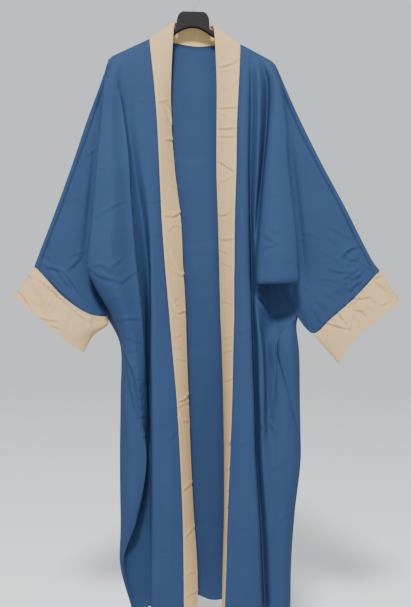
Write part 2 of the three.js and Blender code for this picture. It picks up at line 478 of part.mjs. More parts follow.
// ---------- neckband ----------
function bandPatch(panel, seamFine, neckSeam, backFree, freeLine, flip) {
  const free = freeLine.map((p) => point(p));
  const parts = Array(2).fill(neckSeam.length > 1 ? (neckSeam.length - 1) / 2 : 1);
  const neckFree = smooth([point(BAND_CENTRE.free), point(backFree), ...free.slice(0, 3)], [...parts, 1, 1])
    .slice(0, neckSeam.length);
  const frontFree = smooth(free, PARTS_DOWN);
  const strip = (seam, edge) => {
    const crown = seam.clone().lerp(edge, 0.5);
    return [edge, crown, seam];
  };
  const neck = neckSeam.map((seam, i) => strip(seam, neckFree[i]));
  const front = seamFine.map((seam, i) => strip(seam, frontFree[i]));
  const rows = neck.concat(front.slice(1));
  crowned(rows, flip);
  addPatch(panel, rows.map((row) => smooth(row, BAND_PARTS)), flip);
}

// The middle of the band stands out along the strip's own facing.
function crowned(rows, flip) {
  const middles = rows.map((row) => row[1].clone());
  rows.forEach((row, i) => {
    const acrossWay = row[2].clone().sub(row[0]);
    const downWay = middles[Math.min(i + 1, rows.length - 1)].clone().sub(middles[Math.max(i - 1, 0)]);
    const facing = acrossWay.cross(downWay).normalize().multiplyScalar(flip ? -BAND_CROWN : BAND_CROWN);
    row[1].add(i === 0 ? new THREE.Vector3(0, BAND_CROWN, 0) : facing);
  });
}

// ---------- cuffs ----------
function cuffPatch(panel, frontRow, backRow, table, flip) {
  const names = CUFF_FOLDS;
  const endToOver = frontRow.slice(SLEEVE_PARTS[0]);
  const overToEnd = backRow.slice(0, total(BACK_SLEEVE_PARTS) - BACK_SLEEVE_PARTS[4] + 1);
  const top = endToOver.concat(overToEnd.slice(1));
  const parts = SLEEVE_PARTS.slice(1).concat(BACK_SLEEVE_PARTS.slice(0, 4));
  const loops = table.map((row) => {
    const ring = names.map((name) => point(row[name]));
    const wrapped = [ring[ring.length - 1], ...ring, ring[0], ring[1]];
    const all = smooth(wrapped, [1, ...parts, 1]);
    return all.slice(1, all.length - 1);
  });
  const rows = along([top, ...loops], CUFF_PARTS);
  addPatch(panel, rows, flip);
}

// ---------- walls ----------
function skinNormals() {
  const normals = skin.places.map(() => new THREE.Vector3());
  const around = skin.places.map(() => []);
  skin.faces.forEach(({ quad }) => {
    const [a, b, c, d] = quad.map((i) => skin.places[i]);
    const n = c.clone().sub(a).cross(d.clone().sub(b)).normalize();
    quad.forEach((i, k) => {
      const p = skin.places[i];
      const next = skin.places[quad[(k + 1) % 4]].clone().sub(p);
      const last = skin.places[quad[(k + 3) % 4]].clone().sub(p);
      const corner = next.length() && last.length() ? next.angleTo(last) : 0;
      normals[i].addScaledVector(n, corner);
      around[i].push(n);
    });
  });
  normals.forEach((n, i) => {
    n.normalize();
    const sharpest = Math.min(...around[i].map((face) => face.dot(n)));
    skin.mitre[i] = 1 / Math.max(sharpest, 1 / LONGEST_MITRE);
  });
  [-1, 1].forEach((side) => {
    const slope = SHOULDER_SLOPE + side * TILT;
    const up = new THREE.Vector3(side * Math.sin(slope), 0, Math.cos(slope));
    skin.places.forEach((p, i) => {
      const onSide = p.x * side > Math.abs(side > 0 ? RIGHT_RIDGE.seam : LEFT_RIDGE.seam) - 1;
      const below = ridge(side, p.x).z - p.z;
      if (onSide && p.y === 0 && Math.abs(below) < 0.01) normals[i].copy(up);
      if (below < OVER_ARM) skin.mitre[i] = 1;
    });
  });
  return normals;
}

const trianglesOf = ([a, b, c, d]) => {
  const near = skin.places[a].distanceTo(skin.places[c]) <= skin.places[b].distanceTo(skin.places[d]);
  const pair = near ? [[a, b, c], [a, c, d]] : [[a, b, d], [b, c, d]];
  return pair.filter((t) => new Set(t).size === 3);
};

function panelWall(panel, normals, seams, cloth, swell = 0) {
  const out = cloth.proud + swell;
  const into = cloth.proud - cloth.thick - swell;
  const faces = skin.faces.filter((f) => f.panel === panel).flatMap((f) => trianglesOf(f.quad));
  const used = [...new Set(faces.flat())];
  const edges = new Map();
  faces.forEach((t) => t.forEach((p, k) => {
    const q = t[(k + 1) % 3];
    if (!edges.delete(`${q},${p}`)) edges.set(`${p},${q}`, [p, q, t[(k + 2) % 3]]);
  }));
  const inward = new Map(used.map((i) => [i, new THREE.Vector3()]));
  edges.forEach(([p, q, r]) => {
    if (!seams.has(p) || !seams.has(q)) return;
    const line = skin.places[q].clone().sub(skin.places[p]).normalize();
    const way = skin.places[r].clone().sub(skin.places[p]);
    way.addScaledVector(line, -way.dot(line)).normalize();
    inward.get(p).add(way);
    inward.get(q).add(way);
  });
  const positions = [];
  const number = new Map();
  used.forEach((i, k) => {
    const base = skin.places[i].clone();
    if (seams.has(i)) {
      base.addScaledVector(inward.get(i).normalize(), SEAM_GAP / 2 - swell);
    }
    number.set(i, k);
    positions.push(base.clone().addScaledVector(normals[i], out));
    positions.push(base.clone().addScaledVector(normals[i], into * skin.mitre[i]));
  });
  const triangles = [];
  faces.forEach((t) => {
    const [a, b, c] = t.map((i) => number.get(i) * 2);
    triangles.push([a, b, c], [c + 1, b + 1, a + 1]);
  });
  edges.forEach((edge) => {
    const [p, q] = edge.map((i) => number.get(i) * 2);
    triangles.push([q, p, p + 1], [q, p + 1, q + 1]);
  });
  const geometry = new THREE.BufferGeometry();
  geometry.setAttribute("position", new THREE.Float32BufferAttribute(positions.flatMap((p) => p.toArray()), 3));
  geometry.setIndex(triangles.flat());
  geometry.computeVertexNormals();
  return geometry;
}

// Places where two panels meet, and the whole shoulder ridge.
function seamPlaces() {
  const owners = skin.places.map(() => new Set());
  skin.faces.forEach(({ panel, quad }) => quad.forEach((i) => owners[i].add(panel)));
  const seams = new Set();
  owners.forEach((set, i) => {
    const p = skin.places[i];
    const side = Math.sign(p.x);
    const onRidge = p.y === 0 && Math.abs(p.x) > 100 && Math.abs(ridge(side, p.x).z - p.z) < 0.01;
    if (set.size > 1 || onRidge) seams.add(i);
  });
  return seams;
}

// ---------- hanger ----------
// The arm's top edge at a given distance from the centre, before the hanger tilts.
const armTop = (x) => -TIP_DROP + (TIP_REACH - x) * Math.tan(SHOULDER_SLOPE) - ARM_CLEARANCE / Math.cos(SHOULDER_SLOPE);

function hangerOutline() {
  const tipX = TIP_REACH - 6;
  const lowTip = armTop(tipX - 8) - ARM_TIP_HEIGHT;
  const shape = new THREE.Shape();
  shape.moveTo(-HEAD_TOP_HALF, HEAD_TOP);
  shape.lineTo(HEAD_TOP_HALF, HEAD_TOP);
  shape.quadraticCurveTo(HEAD_SIDE_HALF - 4, HEAD_TOP - 3, HEAD_SIDE_HALF, HEAD_SHOULDER);
  shape.lineTo(HEAD_SIDE_HALF + 2, armTop(HEAD_SIDE_HALF + 2));
  shape.lineTo(tipX - 6, armTop(tipX - 6));
  shape.quadraticCurveTo(tipX, armTop(tipX), tipX, armTop(tipX) - 8);
  shape.quadraticCurveTo(tipX, lowTip, tipX - 8, lowTip);
  shape.lineTo(ARCH_HALF, armTop(ARCH_HALF) - ARM_ROOT_HEIGHT);
  shape.quadraticCurveTo(ARCH_HALF / 2, ARCH_TOP, 0, ARCH_TOP);
  shape.quadraticCurveTo(-ARCH_HALF / 2, ARCH_TOP, -ARCH_HALF, armTop(ARCH_HALF) - ARM_ROOT_HEIGHT);
  shape.lineTo(-tipX + 8, lowTip);
  shape.quadraticCurveTo(-tipX, lowTip, -tipX, armTop(tipX) - 8);
  shape.quadraticCurveTo(-tipX, armTop(tipX), -tipX + 6, armTop(tipX - 6));
  shape.lineTo(-HEAD_SIDE_HALF - 2, armTop(HEAD_SIDE_HALF + 2));
  shape.lineTo(-HEAD_SIDE_HALF, HEAD_SHOULDER);
  shape.quadraticCurveTo(-HEAD_SIDE_HALF + 4, HEAD_TOP - 3, -HEAD_TOP_HALF, HEAD_TOP);
  return shape;
}

function hangerBody() {
  const body = new THREE.ExtrudeGeometry(hangerOutline(), {
    depth: ARM_THICK - 2 * ARM_EDGE, curveSegments: 6, bevelEnabled: true, bevelThickness: ARM_EDGE,
    bevelSize: ARM_EDGE, bevelOffset: -ARM_EDGE, bevelSegments: 2,
  });
  body.translate(0, 0, ARM_EDGE - ARM_THICK / 2);
  body.rotateX(Math.PI / 2);
  return body;
}

function hookLine() {
  const round = HOOK_INNER + WIRE / 2;
  const centre = -HOOK_INNER;
  const points = [1, 7, 13, 18].map((rise) => new THREE.Vector3(0, 0, HEAD_TOP - SOCKET_DEPTH + rise));
  for (let turn = -50; turn <= 190; turn += 24) {
    const a = THREE.MathUtils.degToRad(turn);
    points.push(new THREE.Vector3(round * Math.cos(a), 0, centre + round * Math.sin(a)));
  }
  return new THREE.CatmullRomCurve3(points, false, "centripetal");
}

function hook() {
  const section = new THREE.Shape();
  section.absarc(0, 0, WIRE / 2, 0, Math.PI * 2);
  return new THREE.ExtrudeGeometry(section, { extrudePath: hookLine(), steps: 40, curveSegments: 4, bevelEnabled: false });
}

function closed(geometry) {
  const bare = geometry.clone();
  ["normal", "uv"].forEach((name) => bare.deleteAttribute(name));
  return mergeVertices(bare, 1e-4);
}

function solidOf(wasm, geometry) {
  const bare = closed(geometry);
  return new wasm.Manifold(new wasm.Mesh({
    numProp: 3,
    vertProperties: Float32Array.from(bare.attributes.position.array),
    triVerts: Uint32Array.from(bare.index.array),
  }));
}

function geometryOf(solid) {
  const mesh = solid.getMesh();
  const geometry = new THREE.BufferGeometry();
  geometry.setAttribute("position", new THREE.BufferAttribute(mesh.vertProperties, 3));
  geometry.setIndex(new THREE.BufferAttribute(mesh.triVerts, 1));
  geometry.computeVertexNormals();
  return geometry;
}

// ---------- the robe ----------
const group = new THREE.Group();

function addPiece(parent, name, geometry, material) {
  const mesh = new THREE.Mesh(geometry, material);
  mesh.name = name;
  parent.add(mesh);
}

const leftFront = frontRows(-1, LEFT_FOLDS, LEFT_PARTS, LEFT_RIDGE, LEFT_FRONT, LEFT_SLEEVE);
const rightFront = frontRows(1, RIGHT_FOLDS, RIGHT_PARTS, RIGHT_RIDGE, RIGHT_FRONT, RIGHT_SLEEVE);
const leftEdges = frontPatches("front_left", leftFront, false);
const rightEdges = frontPatches("front_right", rightFront, true);
const overSeam = (front) => front.levels.map((row) => row[row.length - 1]);
const backEdges = backPatches(overSeam(leftFront), overSeam(rightFront));

const neckFrom = total(BACK_PARTS.slice(0, -2));
const neckRow = backEdges.neckRow;
const neckHalf = BACK_PARTS[6] + BACK_PARTS[7];
const leftNeckSeam = neckRow.slice(neckFrom, neckFrom + neckHalf + 1).reverse();
const rightNeckSeam = neckRow.slice(neckFrom + neckHalf, neckFrom + 2 * neckHalf + 1);
bandPatch("neckband_left", leftEdges.seam, leftNeckSeam, LEFT_BAND_BACK, LEFT_BAND_FREE, false);
bandPatch("neckband_right", rightEdges.seam, rightNeckSeam, RIGHT_BAND_BACK, RIGHT_BAND_FREE, true);

cuffPatch("cuff_left", leftEdges.cuffRow, backEdges.leftCuff, LEFT_CUFF, false);
cuffPatch("cuff_right", rightEdges.cuffRow, backEdges.rightCuff.slice().reverse(), RIGHT_CUFF, true);

const wasm = await Module();
wasm.setup();

// Each panel gives way to the ones before it, where their folds press together.
const normals = skinNormals();
const seams = seamPlaces();
const laid = [];
function addCloth(name, cloth, material) {
  const wall = panelWall(name, normals, seams, cloth);
  const whole = solidOf(wasm, wall);
  const pressing = laid.filter((other) => whole.intersect(other.swollen).volume() > 0.001);
  const left = pressing.reduce((solid, other) => solid.subtract(other.swollen).subtract(other.solid), whole);
  const [solid] = left.decompose().sort((a, b) => b.volume() - a.volume());
  laid.push({ solid, swollen: solidOf(wasm, panelWall(name, normals, seams, cloth, CLEARANCE)) });
  addPiece(group, name, pressing.length ? geometryOf(solid) : wall, material);
}
["front_left", "front_right", "back"].forEach((name) => addCloth(name, SINGLE, BLUE));
["neckband_left", "neckband_right", "cuff_left", "cuff_right"].forEach((name) => addCloth(name, DOUBLED, CREAM));

const socket = new THREE.CylinderGeometry(WIRE / 2 + SEAM_GAP, WIRE / 2 + SEAM_GAP, 2 * SOCKET_DEPTH, 12);
socket.rotateX(Math.PI / 2);
socket.translate(0, 0, HEAD_TOP);
const bored = solidOf(wasm, hangerBody()).subtract(solidOf(wasm, socket));
const hanger = new THREE.Group();
hanger.rotation.y = TILT;
addPiece(hanger, "hanger_body", geometryOf(bored), BLACK);
addPiece(hanger, "hanger_hook", closed(hook()), STEEL);
group.add(hanger);

export default group;
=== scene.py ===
# %% [markdown]
# # A robe on a hanger
# A long open-front robe hangs from a moulded hanger. Its sleeves are cut in one with the
# fronts and the back, a doubled band runs round the neck and down both front edges, and a
# doubled cuff ends each sleeve. The cloth is the form: there is nothing inside it. So each
# cut piece is laid out here as a grid of points that follows the hanging folds, all the
# pieces are joined into one skin so that their seams meet, and each piece is then given
# its own thin wall.

# %% the frame
import math
import bpy
import numpy as np
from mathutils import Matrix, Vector, kdtree


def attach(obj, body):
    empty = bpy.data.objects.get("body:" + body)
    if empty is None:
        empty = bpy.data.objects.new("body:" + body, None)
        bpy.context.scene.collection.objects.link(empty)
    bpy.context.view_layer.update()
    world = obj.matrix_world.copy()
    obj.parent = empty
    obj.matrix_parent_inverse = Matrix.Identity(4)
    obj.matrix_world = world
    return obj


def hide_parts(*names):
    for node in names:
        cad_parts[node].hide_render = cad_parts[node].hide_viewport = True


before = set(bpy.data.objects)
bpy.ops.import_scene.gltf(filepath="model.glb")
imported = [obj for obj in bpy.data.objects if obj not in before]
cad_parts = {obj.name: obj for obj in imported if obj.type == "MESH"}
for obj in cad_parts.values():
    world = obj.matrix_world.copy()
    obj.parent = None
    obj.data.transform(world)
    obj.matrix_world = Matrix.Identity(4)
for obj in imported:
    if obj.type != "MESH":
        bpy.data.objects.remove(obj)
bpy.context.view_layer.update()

# %% [markdown]
# ## The hanging folds
# A sewer would drape the robe and mark where each fold runs. The tables below do the same
# in millimetres. X runs across, Y runs back and Z runs up, from the inside of the hook.
# Each row is a level from the shoulder down to the hem, and each name in a row is a fold
# line: a crest, a valley or a seam. A fold is [across, back], or [across, back, height]
# where it leaves its level. Writing the folds down, instead of letting a cloth
# simulation find them, keeps the two deep side folds and the slack right sleeve as they are.

# %% the hanger's shoulders
TILT = math.radians(1.7)             # the hanger hangs a little lower on the right
SHOULDER_SLOPE = math.radians(26.6)
TIP_REACH = 208.5                    # centre to shoulder tip
TIP_DROP = 182.5                     # hook to shoulder tip
UNDERARM = 10                        # the level where sleeve and side part

# %% left front
# Folds from the band seam outwards. Each fold is [across, back] at its level, or
# [across, back, height] where it leaves the level.
LEFT_FOLDS = ["seam", "flat", "lip", "deep", "flank", "crest", "edge", "side"]
LEFT_RIDGE = dict(seam=-110, flat=-128, lip=-146, deep=-162, flank=-176, crest=-190, edge=-199,
  side=-205)
LEFT_FRONT = [
  dict(z=-240, seam=[-99, -20], flat=[-124, -25], lip=[-148, -24], deep=[-166, -22],
    flank=[-180, -25], crest=[-200, -37], edge=[-220, -30], side=[-212, -14]),
  dict(z=-340, seam=[-91, -22], flat=[-118, -28], lip=[-143, -26], deep=[-163, -20],
    flank=[-177, -26], crest=[-206, -49], edge=[-229, -38], side=[-217, -16]),
  dict(z=-460, seam=[-85, -24], flat=[-106, -31], lip=[-127, -30], deep=[-147, -18],
    flank=[-165, -30], crest=[-200, -62], edge=[-237, -50], side=[-220, -18]),
  dict(z=-585, seam=[-79, -26], flat=[-95, -35], lip=[-110, -36], deep=[-127, -14],
    flank=[-154, -34], crest=[-197, -75], edge=[-248, -59], side=[-227, -20]),
  dict(z=-695, seam=[-71, -28], flat=[-90, -38], lip=[-105, -42], deep=[-115, -10],
    flank=[-143, -36], crest=[-200, -87], edge=[-260, -68], side=[-236, -4]),
  dict(z=-741, seam=[-67, -30], flat=[-86, -40], lip=[-104, -45], deep=[-113, -8],
    flank=[-137, -36], crest=[-190, -85], edge=[-244, -61, -740], side=[-232, 10]),
  dict(z=-775, seam=[-64, -31], flat=[-83, -42], lip=[-103, -48], deep=[-112, -7],
    flank=[-132, -36], crest=[-180, -81], edge=[-227, -52, -773], side=[-222, 7]),
  dict(z=-820, seam=[-60, -32], flat=[-80, -44], lip=[-102, -50], deep=[-112, -6],
    flank=[-128, -36], crest=[-168, -73], edge=[-201, -44, -818], side=[-207, 0, -816]),
  dict(z=-890, seam=[-54, -34], flat=[-76, -46], lip=[-102, -52], deep=[-112, -5],
    flank=[-125, -34], crest=[-148, -62], edge=[-171, -52], side=[-177, -37]),
  dict(z=-1025, seam=[-42, -36], flat=[-68, -48], lip=[-101, -54], deep=[-111, -3],
    flank=[-117, -32], crest=[-131, -56], edge=[-142, -55], side=[-153, -48]),
  dict(z=-1160, seam=[-34, -38], flat=[-61, -50], lip=[-100, -54], deep=[-108, 1],
    flank=[-114, -3], crest=[-118, -15], edge=[-115, -30], side=[-116, -46]),
  dict(z=-1320, seam=[-27, -40], flat=[-54, -50], lip=[-100, -54], deep=[-110, 4],
    flank=[-128, 8], crest=[-148, 3], edge=[-156, -17], side=[-140, -42]),
  dict(z=-1435, seam=[-25, -40], flat=[-54, -50], lip=[-101, -52], deep=[-109, 6],
    flank=[-130, 9], crest=[-150, 6], edge=[-167, -3], side=[-176, -17]),
  dict(z=-1548, seam=[-24, -40], flat=[-54, -49], lip=[-102, -48], deep=[-109, 6],
    flank=[-122, 10, -1556], crest=[-134, 8, -1558], edge=[-145, 3, -1558], side=[-152, -4, -1558]),
]
# Front half of the left sleeve, from the body out to the overarm seam.
SLEEVE_FOLDS = ["inner", "middle", "outer", "over"]
LEFT_SLEEVE = [
  dict(inner=[-212, -10.5, -187], middle=[-214.5, -9, -190], outer=[-216, -7, -192], over=[-217.5, -5, -194]),
  dict(inner=[-216, -10, -240], middle=[-220, -8, -239], outer=[-223, -6, -238], over=[-226, -5, -237]),
  dict(inner=[-226, -13, -342], middle=[-236, -14, -340], outer=[-246, -11, -338], over=[-256, -5, -335]),
  dict(inner=[-236, -15, -464], middle=[-256, -18, -460], outer=[-277, -14, -456], over=[-297, -5, -451]),
  dict(inner=[-252, -18, -590], middle=[-282, -22, -582], outer=[-310, -17, -573], over=[-337, -5, -563]),
  dict(inner=[-262, -18, -700], middle=[-300, -24, -688], outer=[-335, -20, -668], over=[-368, -5, -645]),
  dict(inner=[-256, -14, -750], middle=[-302, -23, -734], outer=[-342, -19, -705], over=[-377, -5, -670]),
  dict(inner=[-246, -13, -783], middle=[-292, -22, -768], outer=[-340, -19, -731], over=[-383, -5, -686]),
  dict(inner=[-218, 0, -821], middle=[-257, -18, -817], outer=[-317, -17, -780], over=[-390, -5, -705]),
]

# %% right front
RIGHT_FOLDS = ["seam", "flat", "lip", "valley", "pleat", "crease", "inside", "crest", "edge", "side"]
RIGHT_RIDGE = dict(seam=115, flat=125, lip=134, valley=142, pleat=155, crease=167, inside=175,
  crest=185, edge=192, side=196)
RIGHT_FRONT = [
  dict(z=-240, seam=[111, -20], flat=[123, -25], lip=[134, -24], valley=[143, -17], pleat=[160, -31],
    crease=[181, -15], inside=[188, -30], crest=[200, -38], edge=[211, -29], side=[205, -13]),
  dict(z=-340, seam=[106, -22], flat=[120, -28], lip=[133, -26], valley=[142, -15], pleat=[160, -34],
    crease=[180, -13], inside=[186, -41], crest=[203, -50], edge=[222, -40], side=[212, -14]),
  dict(z=-460, seam=[104, -24], flat=[119, -31], lip=[132, -29], valley=[140, -14], pleat=[156, -35],
    crease=[170, -14], inside=[175, -52], crest=[199, -62], edge=[228, -50], side=[214, -16]),
  dict(z=-585, seam=[100, -26], flat=[117, -34], lip=[133, -31], valley=[141, -12], pleat=[149, -31],
    crease=[157, -26], inside=[165, -62], crest=[199, -76], edge=[241, -62], side=[222, -18]),
  dict(z=-695, seam=[99, -28], flat=[117, -37], lip=[135, -34], valley=[143, -12], pleat=[148, -26],
    crease=[151, -42], inside=[155, -71], crest=[198, -88], edge=[249, -71], side=[236, -15]),
  dict(z=-741, seam=[98, -30], flat=[117, -39], lip=[136, -36], valley=[144, -12], pleat=[149, -26],
    crease=[152, -42], inside=[155, -70, -742], crest=[198, -85, -741], edge=[250, -68, -739],
    side=[241, -8, -747]),
  dict(z=-775, seam=[98, -31], flat=[117, -40], lip=[137, -37], valley=[144, -12], pleat=[150, -24],
    crease=[156, -27, -768], inside=[172, 0, -722], crest=[188, 14, -710], edge=[204, 10, -720],
    side=[246, 0, -780]),
  dict(z=-820, seam=[98, -32], flat=[117, -41], lip=[138, -38], valley=[145, -12], pleat=[154, -34],
    crease=[166, -24, -814], inside=[180, -2, -810], crest=[204, 18, -808], edge=[231, 12, -812],
    side=[257, 2, -821]),
  dict(z=-890, seam=[96, -34], flat=[116, -43], lip=[140, -40], valley=[147, -11], pleat=[163, -40],
    crease=[175, -6], inside=[184, -6], crest=[192, -12], edge=[199, -18], side=[205, -20]),
  dict(z=-1025, seam=[93, -36], flat=[115, -45], lip=[144, -42], valley=[152, -9], pleat=[167, -41],
    crease=[181, -14], inside=[196, -23], crest=[212, -30], edge=[226, -28], side=[238, -22]),
  dict(z=-1160, seam=[88, -38], flat=[112, -47], lip=[147, -44], valley=[155, -7], pleat=[168, -34],
    crease=[190, -29], inside=[211, -33], crest=[231, -32], edge=[251, -23], side=[265, -6]),
  dict(z=-1320, seam=[81, -40], flat=[108, -49], lip=[156, -44], valley=[166, -7], pleat=[179, -30],
    crease=[196, -32], inside=[212, -34], crest=[227, -31], edge=[240, -21], side=[249, -4]),
  dict(z=-1435, seam=[78, -40], flat=[107, -49], lip=[160, -43], valley=[172, -6], pleat=[185, -27],
    crease=[199, -31], inside=[212, -33], crest=[224, -29], edge=[234, -19], side=[241, -4]),
  dict(z=-1548, seam=[74, -40], flat=[106, -48], lip=[163, -41], valley=[177, -5], pleat=[188, -25],
    crease=[201, -29], inside=[213, -31], crest=[224, -28], edge=[233, -18], side=[239, -4]),
]
RIGHT_SLEEVE = [
  dict(inner=[203, -10.5, -198], middle=[205, -9, -201], outer=[206.8, -7, -203], over=[208.5, -5, -205]),
  dict(inner=[208.5, -10, -240], middle=[211.5, -8, -239], outer=[214.5, -6, -238], over=[217, -5, -237]),
  dict(inner=[220, -11, -342], middle=[231, -13, -340], outer=[243, -10, -338], over=[254, -5, -335]),
  dict(inner=[231, -14, -464], middle=[256, -17, -460], outer=[281, -14, -452], over=[308, -5, -443]),
  dict(inner=[246, -16, -592], middle=[285, -22, -582], outer=[325, -18, -566], over=[365, -5, -548]),
  dict(inner=[262, -14, -708], middle=[310, -22, -690], outer=[360, -18, -666], over=[409, -5, -637]),
  dict(inner=[268, -15, -762], middle=[318, -21, -736], outer=[372, -17, -703], over=[427, -5, -667]),
  dict(inner=[278, -13, -805], middle=[327, -19, -772], outer=[384, -16, -728], over=[437, -5, -688]),
  dict(inner=[297, 0, -865], middle=[342, -14, -826], outer=[400, -13, -775], over=[452, -5, -720]),
]

# %% back
# Half of the back on each side, from the side in to the centre, and the back of each sleeve.
BACK_FOLDS = ["side", "wrap", "turn", "crest", "valley", "dip", "neck", "half"]
BACK_SLEEVE_FOLDS = ["fold", "outer", "middle", "inner"]
CENTRE_BACK = [[6, 31, -143], [6, 32, -152], [4, 36, -240], [2, 38, -340], [0, 38, -460], [0, 38, -585],
  [0, 38, -695], [0, 38, -741], [0, 38, -775], [0, 39, -820], [0, 40, -890], [0, 42, -1025], [0, 46, -1160],
  [0, 48, -1320], [0, 50, -1435], [0, 50, -1534]]
LEFT_BACK = [
  dict(z=-240, side=[-213, 17], wrap=[-217, 27], turn=[-208, 33], crest=[-192, 31], valley=[-166, 27],
    dip=[-138, 27], neck=[-104, 31], half=[-54, 34]),
  dict(z=-340, side=[-221, 25], wrap=[-228, 40], turn=[-216, 51], crest=[-194, 51], valley=[-164, 31],
    dip=[-134, 33], neck=[-98, 37], half=[-52, 37]),
  dict(z=-460, side=[-228, 31], wrap=[-238, 50], turn=[-226, 66], crest=[-198, 69], valley=[-162, 36],
    dip=[-130, 37], neck=[-92, 41], half=[-50, 38]),
  dict(z=-585, side=[-234, 33], wrap=[-247, 58], turn=[-233, 76], crest=[-200, 82], valley=[-160, 42],
    dip=[-126, 39], neck=[-90, 44], half=[-48, 39]),
  dict(z=-695, side=[-236, 40], wrap=[-251, 60], turn=[-237, 81], crest=[-202, 88], valley=[-158, 48],
    dip=[-122, 41], neck=[-88, 46], half=[-46, 40]),
  dict(z=-741, side=[-230, 40], wrap=[-248, 56], turn=[-236, 80], crest=[-202, 89], valley=[-158, 50],
    dip=[-121, 42], neck=[-87, 47], half=[-46, 41]),
  dict(z=-775, side=[-221, 32], wrap=[-240, 48], turn=[-232, 76], crest=[-200, 88], valley=[-157, 52],
    dip=[-120, 43], neck=[-86, 48], half=[-45, 42]),
  dict(z=-820, side=[-207, 0, -816], wrap=[-222, 30], turn=[-221, 64], crest=[-196, 84], valley=[-156, 54],
    dip=[-119, 44], neck=[-85, 49], half=[-44, 43]),
  dict(z=-890, side=[-177, -37], wrap=[-184, -14], turn=[-186, 22], crest=[-184, 70], valley=[-154, 58],
    dip=[-118, 46], neck=[-84, 51], half=[-44, 45]),
  dict(z=-1025, side=[-153, -48], wrap=[-173, -38], turn=[-184, -2], crest=[-178, 56], valley=[-148, 64],
    dip=[-112, 50], neck=[-80, 56], half=[-42, 48]),
  dict(z=-1160, side=[-116, -46], wrap=[-150, -50], turn=[-182, -20], crest=[-177, 44], valley=[-144, 66],
    dip=[-108, 52], neck=[-78, 60], half=[-40, 51]),
  dict(z=-1320, side=[-140, -42], wrap=[-163, -46], turn=[-182, -16], crest=[-177, 40], valley=[-144, 66],
    dip=[-106, 54], neck=[-76, 62], half=[-38, 52]),
  dict(z=-1435, side=[-176, -17], wrap=[-185, -4], turn=[-184, 16], crest=[-172, 46], valley=[-142, 64],
    dip=[-106, 54], neck=[-76, 62], half=[-38, 52]),
  dict(z=-1548, side=[-152, -4, -1558], wrap=[-155, 6, -1558], turn=[-153, 20, -1556],
    crest=[-146, 40], valley=[-128, 58], dip=[-100, 56], neck=[-74, 61, -1546], half=[-38, 54, -1540]),
]
RIGHT_BACK = [
  dict(z=-240, side=[206, 15], wrap=[210, 26], turn=[203, 33], crest=[186, 31], valley=[162, 27],
    dip=[138, 27], neck=[108, 31], half=[60, 34]),
  dict(z=-340, side=[214, 23], wrap=[222, 38], turn=[212, 50], crest=[190, 50], valley=[160, 31],
    dip=[136, 33], neck=[104, 37], half=[56, 37]),
  dict(z=-460, side=[220, 29], wrap=[234, 48], turn=[223, 64], crest=[194, 68], valley=[158, 36],
    dip=[132, 37], neck=[98, 41], half=[52, 38]),
  dict(z=-585, side=[228, 31], wrap=[244, 56], turn=[233, 74], crest=[198, 81], valley=[157, 42],
    dip=[128, 39], neck=[94, 43], half=[50, 39]),
  dict(z=-695, side=[234, 29], wrap=[252, 58], turn=[241, 78], crest=[203, 87], valley=[156, 47],
    dip=[124, 41], neck=[90, 45], half=[48, 40]),
  dict(z=-741, side=[238, 23], wrap=[256, 54], turn=[246, 77], crest=[206, 87], valley=[156, 49],
    dip=[123, 42], neck=[89, 46], half=[47, 41]),
  dict(z=-775, side=[244, 22], wrap=[261, 46], turn=[251, 73], crest=[209, 86], valley=[157, 51],
    dip=[122, 43], neck=[88, 47], half=[46, 42]),
  dict(z=-820, side=[257, 2, -821], wrap=[264, 30], turn=[257, 64], crest=[214, 84], valley=[160, 53],
    dip=[122, 44], neck=[88, 48], half=[46, 43]),
  dict(z=-890, side=[205, -20], wrap=[238, -27], turn=[261, 2], crest=[250, 62], valley=[182, 62],
    dip=[130, 48], neck=[90, 50], half=[46, 45]),
  dict(z=-1025, side=[238, -22], wrap=[256, -15], turn=[266, 8], crest=[256, 60], valley=[192, 66],
    dip=[138, 50], neck=[92, 54], half=[46, 48]),
  dict(z=-1160, side=[265, -6], wrap=[268, 6], turn=[266, 26], crest=[251, 60], valley=[190, 66],
    dip=[138, 52], neck=[92, 57], half=[46, 50]),
  dict(z=-1320, side=[249, -4], wrap=[252, 8], turn=[250, 26], crest=[237, 56], valley=[184, 64],
    dip=[136, 52], neck=[92, 58], half=[46, 51]),
  dict(z=-1435, side=[241, -4], wrap=[244, 8], turn=[243, 24], crest=[232, 54], valley=[182, 62],
    dip=[134, 52], neck=[91, 58], half=[46, 52]),
  dict(z=-1548, side=[239, -4], wrap=[242, 8], turn=[241, 22], crest=[230, 50], valley=[180, 60],
    dip=[132, 52], neck=[90, 58], half=[46, 53, -1550]),
]
LEFT_SLEEVE_BACK = [
  dict(fold=[-219.5, 0, -195], outer=[-216, 7, -192], middle=[-214, 9.5, -190], inner=[-212, 11, -188]),
  dict(fold=[-230, 0, -231], outer=[-227, 8, -238], middle=[-223, 12, -239], inner=[-218, 15, -240]),
  dict(fold=[-267, 0, -331], outer=[-256, 12, -338], middle=[-244, 18, -340], inner=[-232, 22, -342]),
  dict(fold=[-307, 0, -450], outer=[-290, 16, -456], middle=[-268, 24, -460], inner=[-246, 28, -464]),
  dict(fold=[-347, 0, -560], outer=[-322, 18, -573], middle=[-292, 27, -582], inner=[-260, 30, -590]),
  dict(fold=[-378, 0, -641], outer=[-346, 18, -668], middle=[-308, 28, -688], inner=[-268, 28, -700]),
  dict(fold=[-388, 0, -667], outer=[-350, 17, -705], middle=[-308, 26, -734], inner=[-262, 22, -750]),
  dict(fold=[-394, 0, -683], outer=[-347, 17, -731], middle=[-298, 24, -768], inner=[-250, 15, -783]),
  dict(fold=[-400, 0, -699], outer=[-322, 16, -780], middle=[-262, 17, -818], inner=[-218, 0, -821]),
]
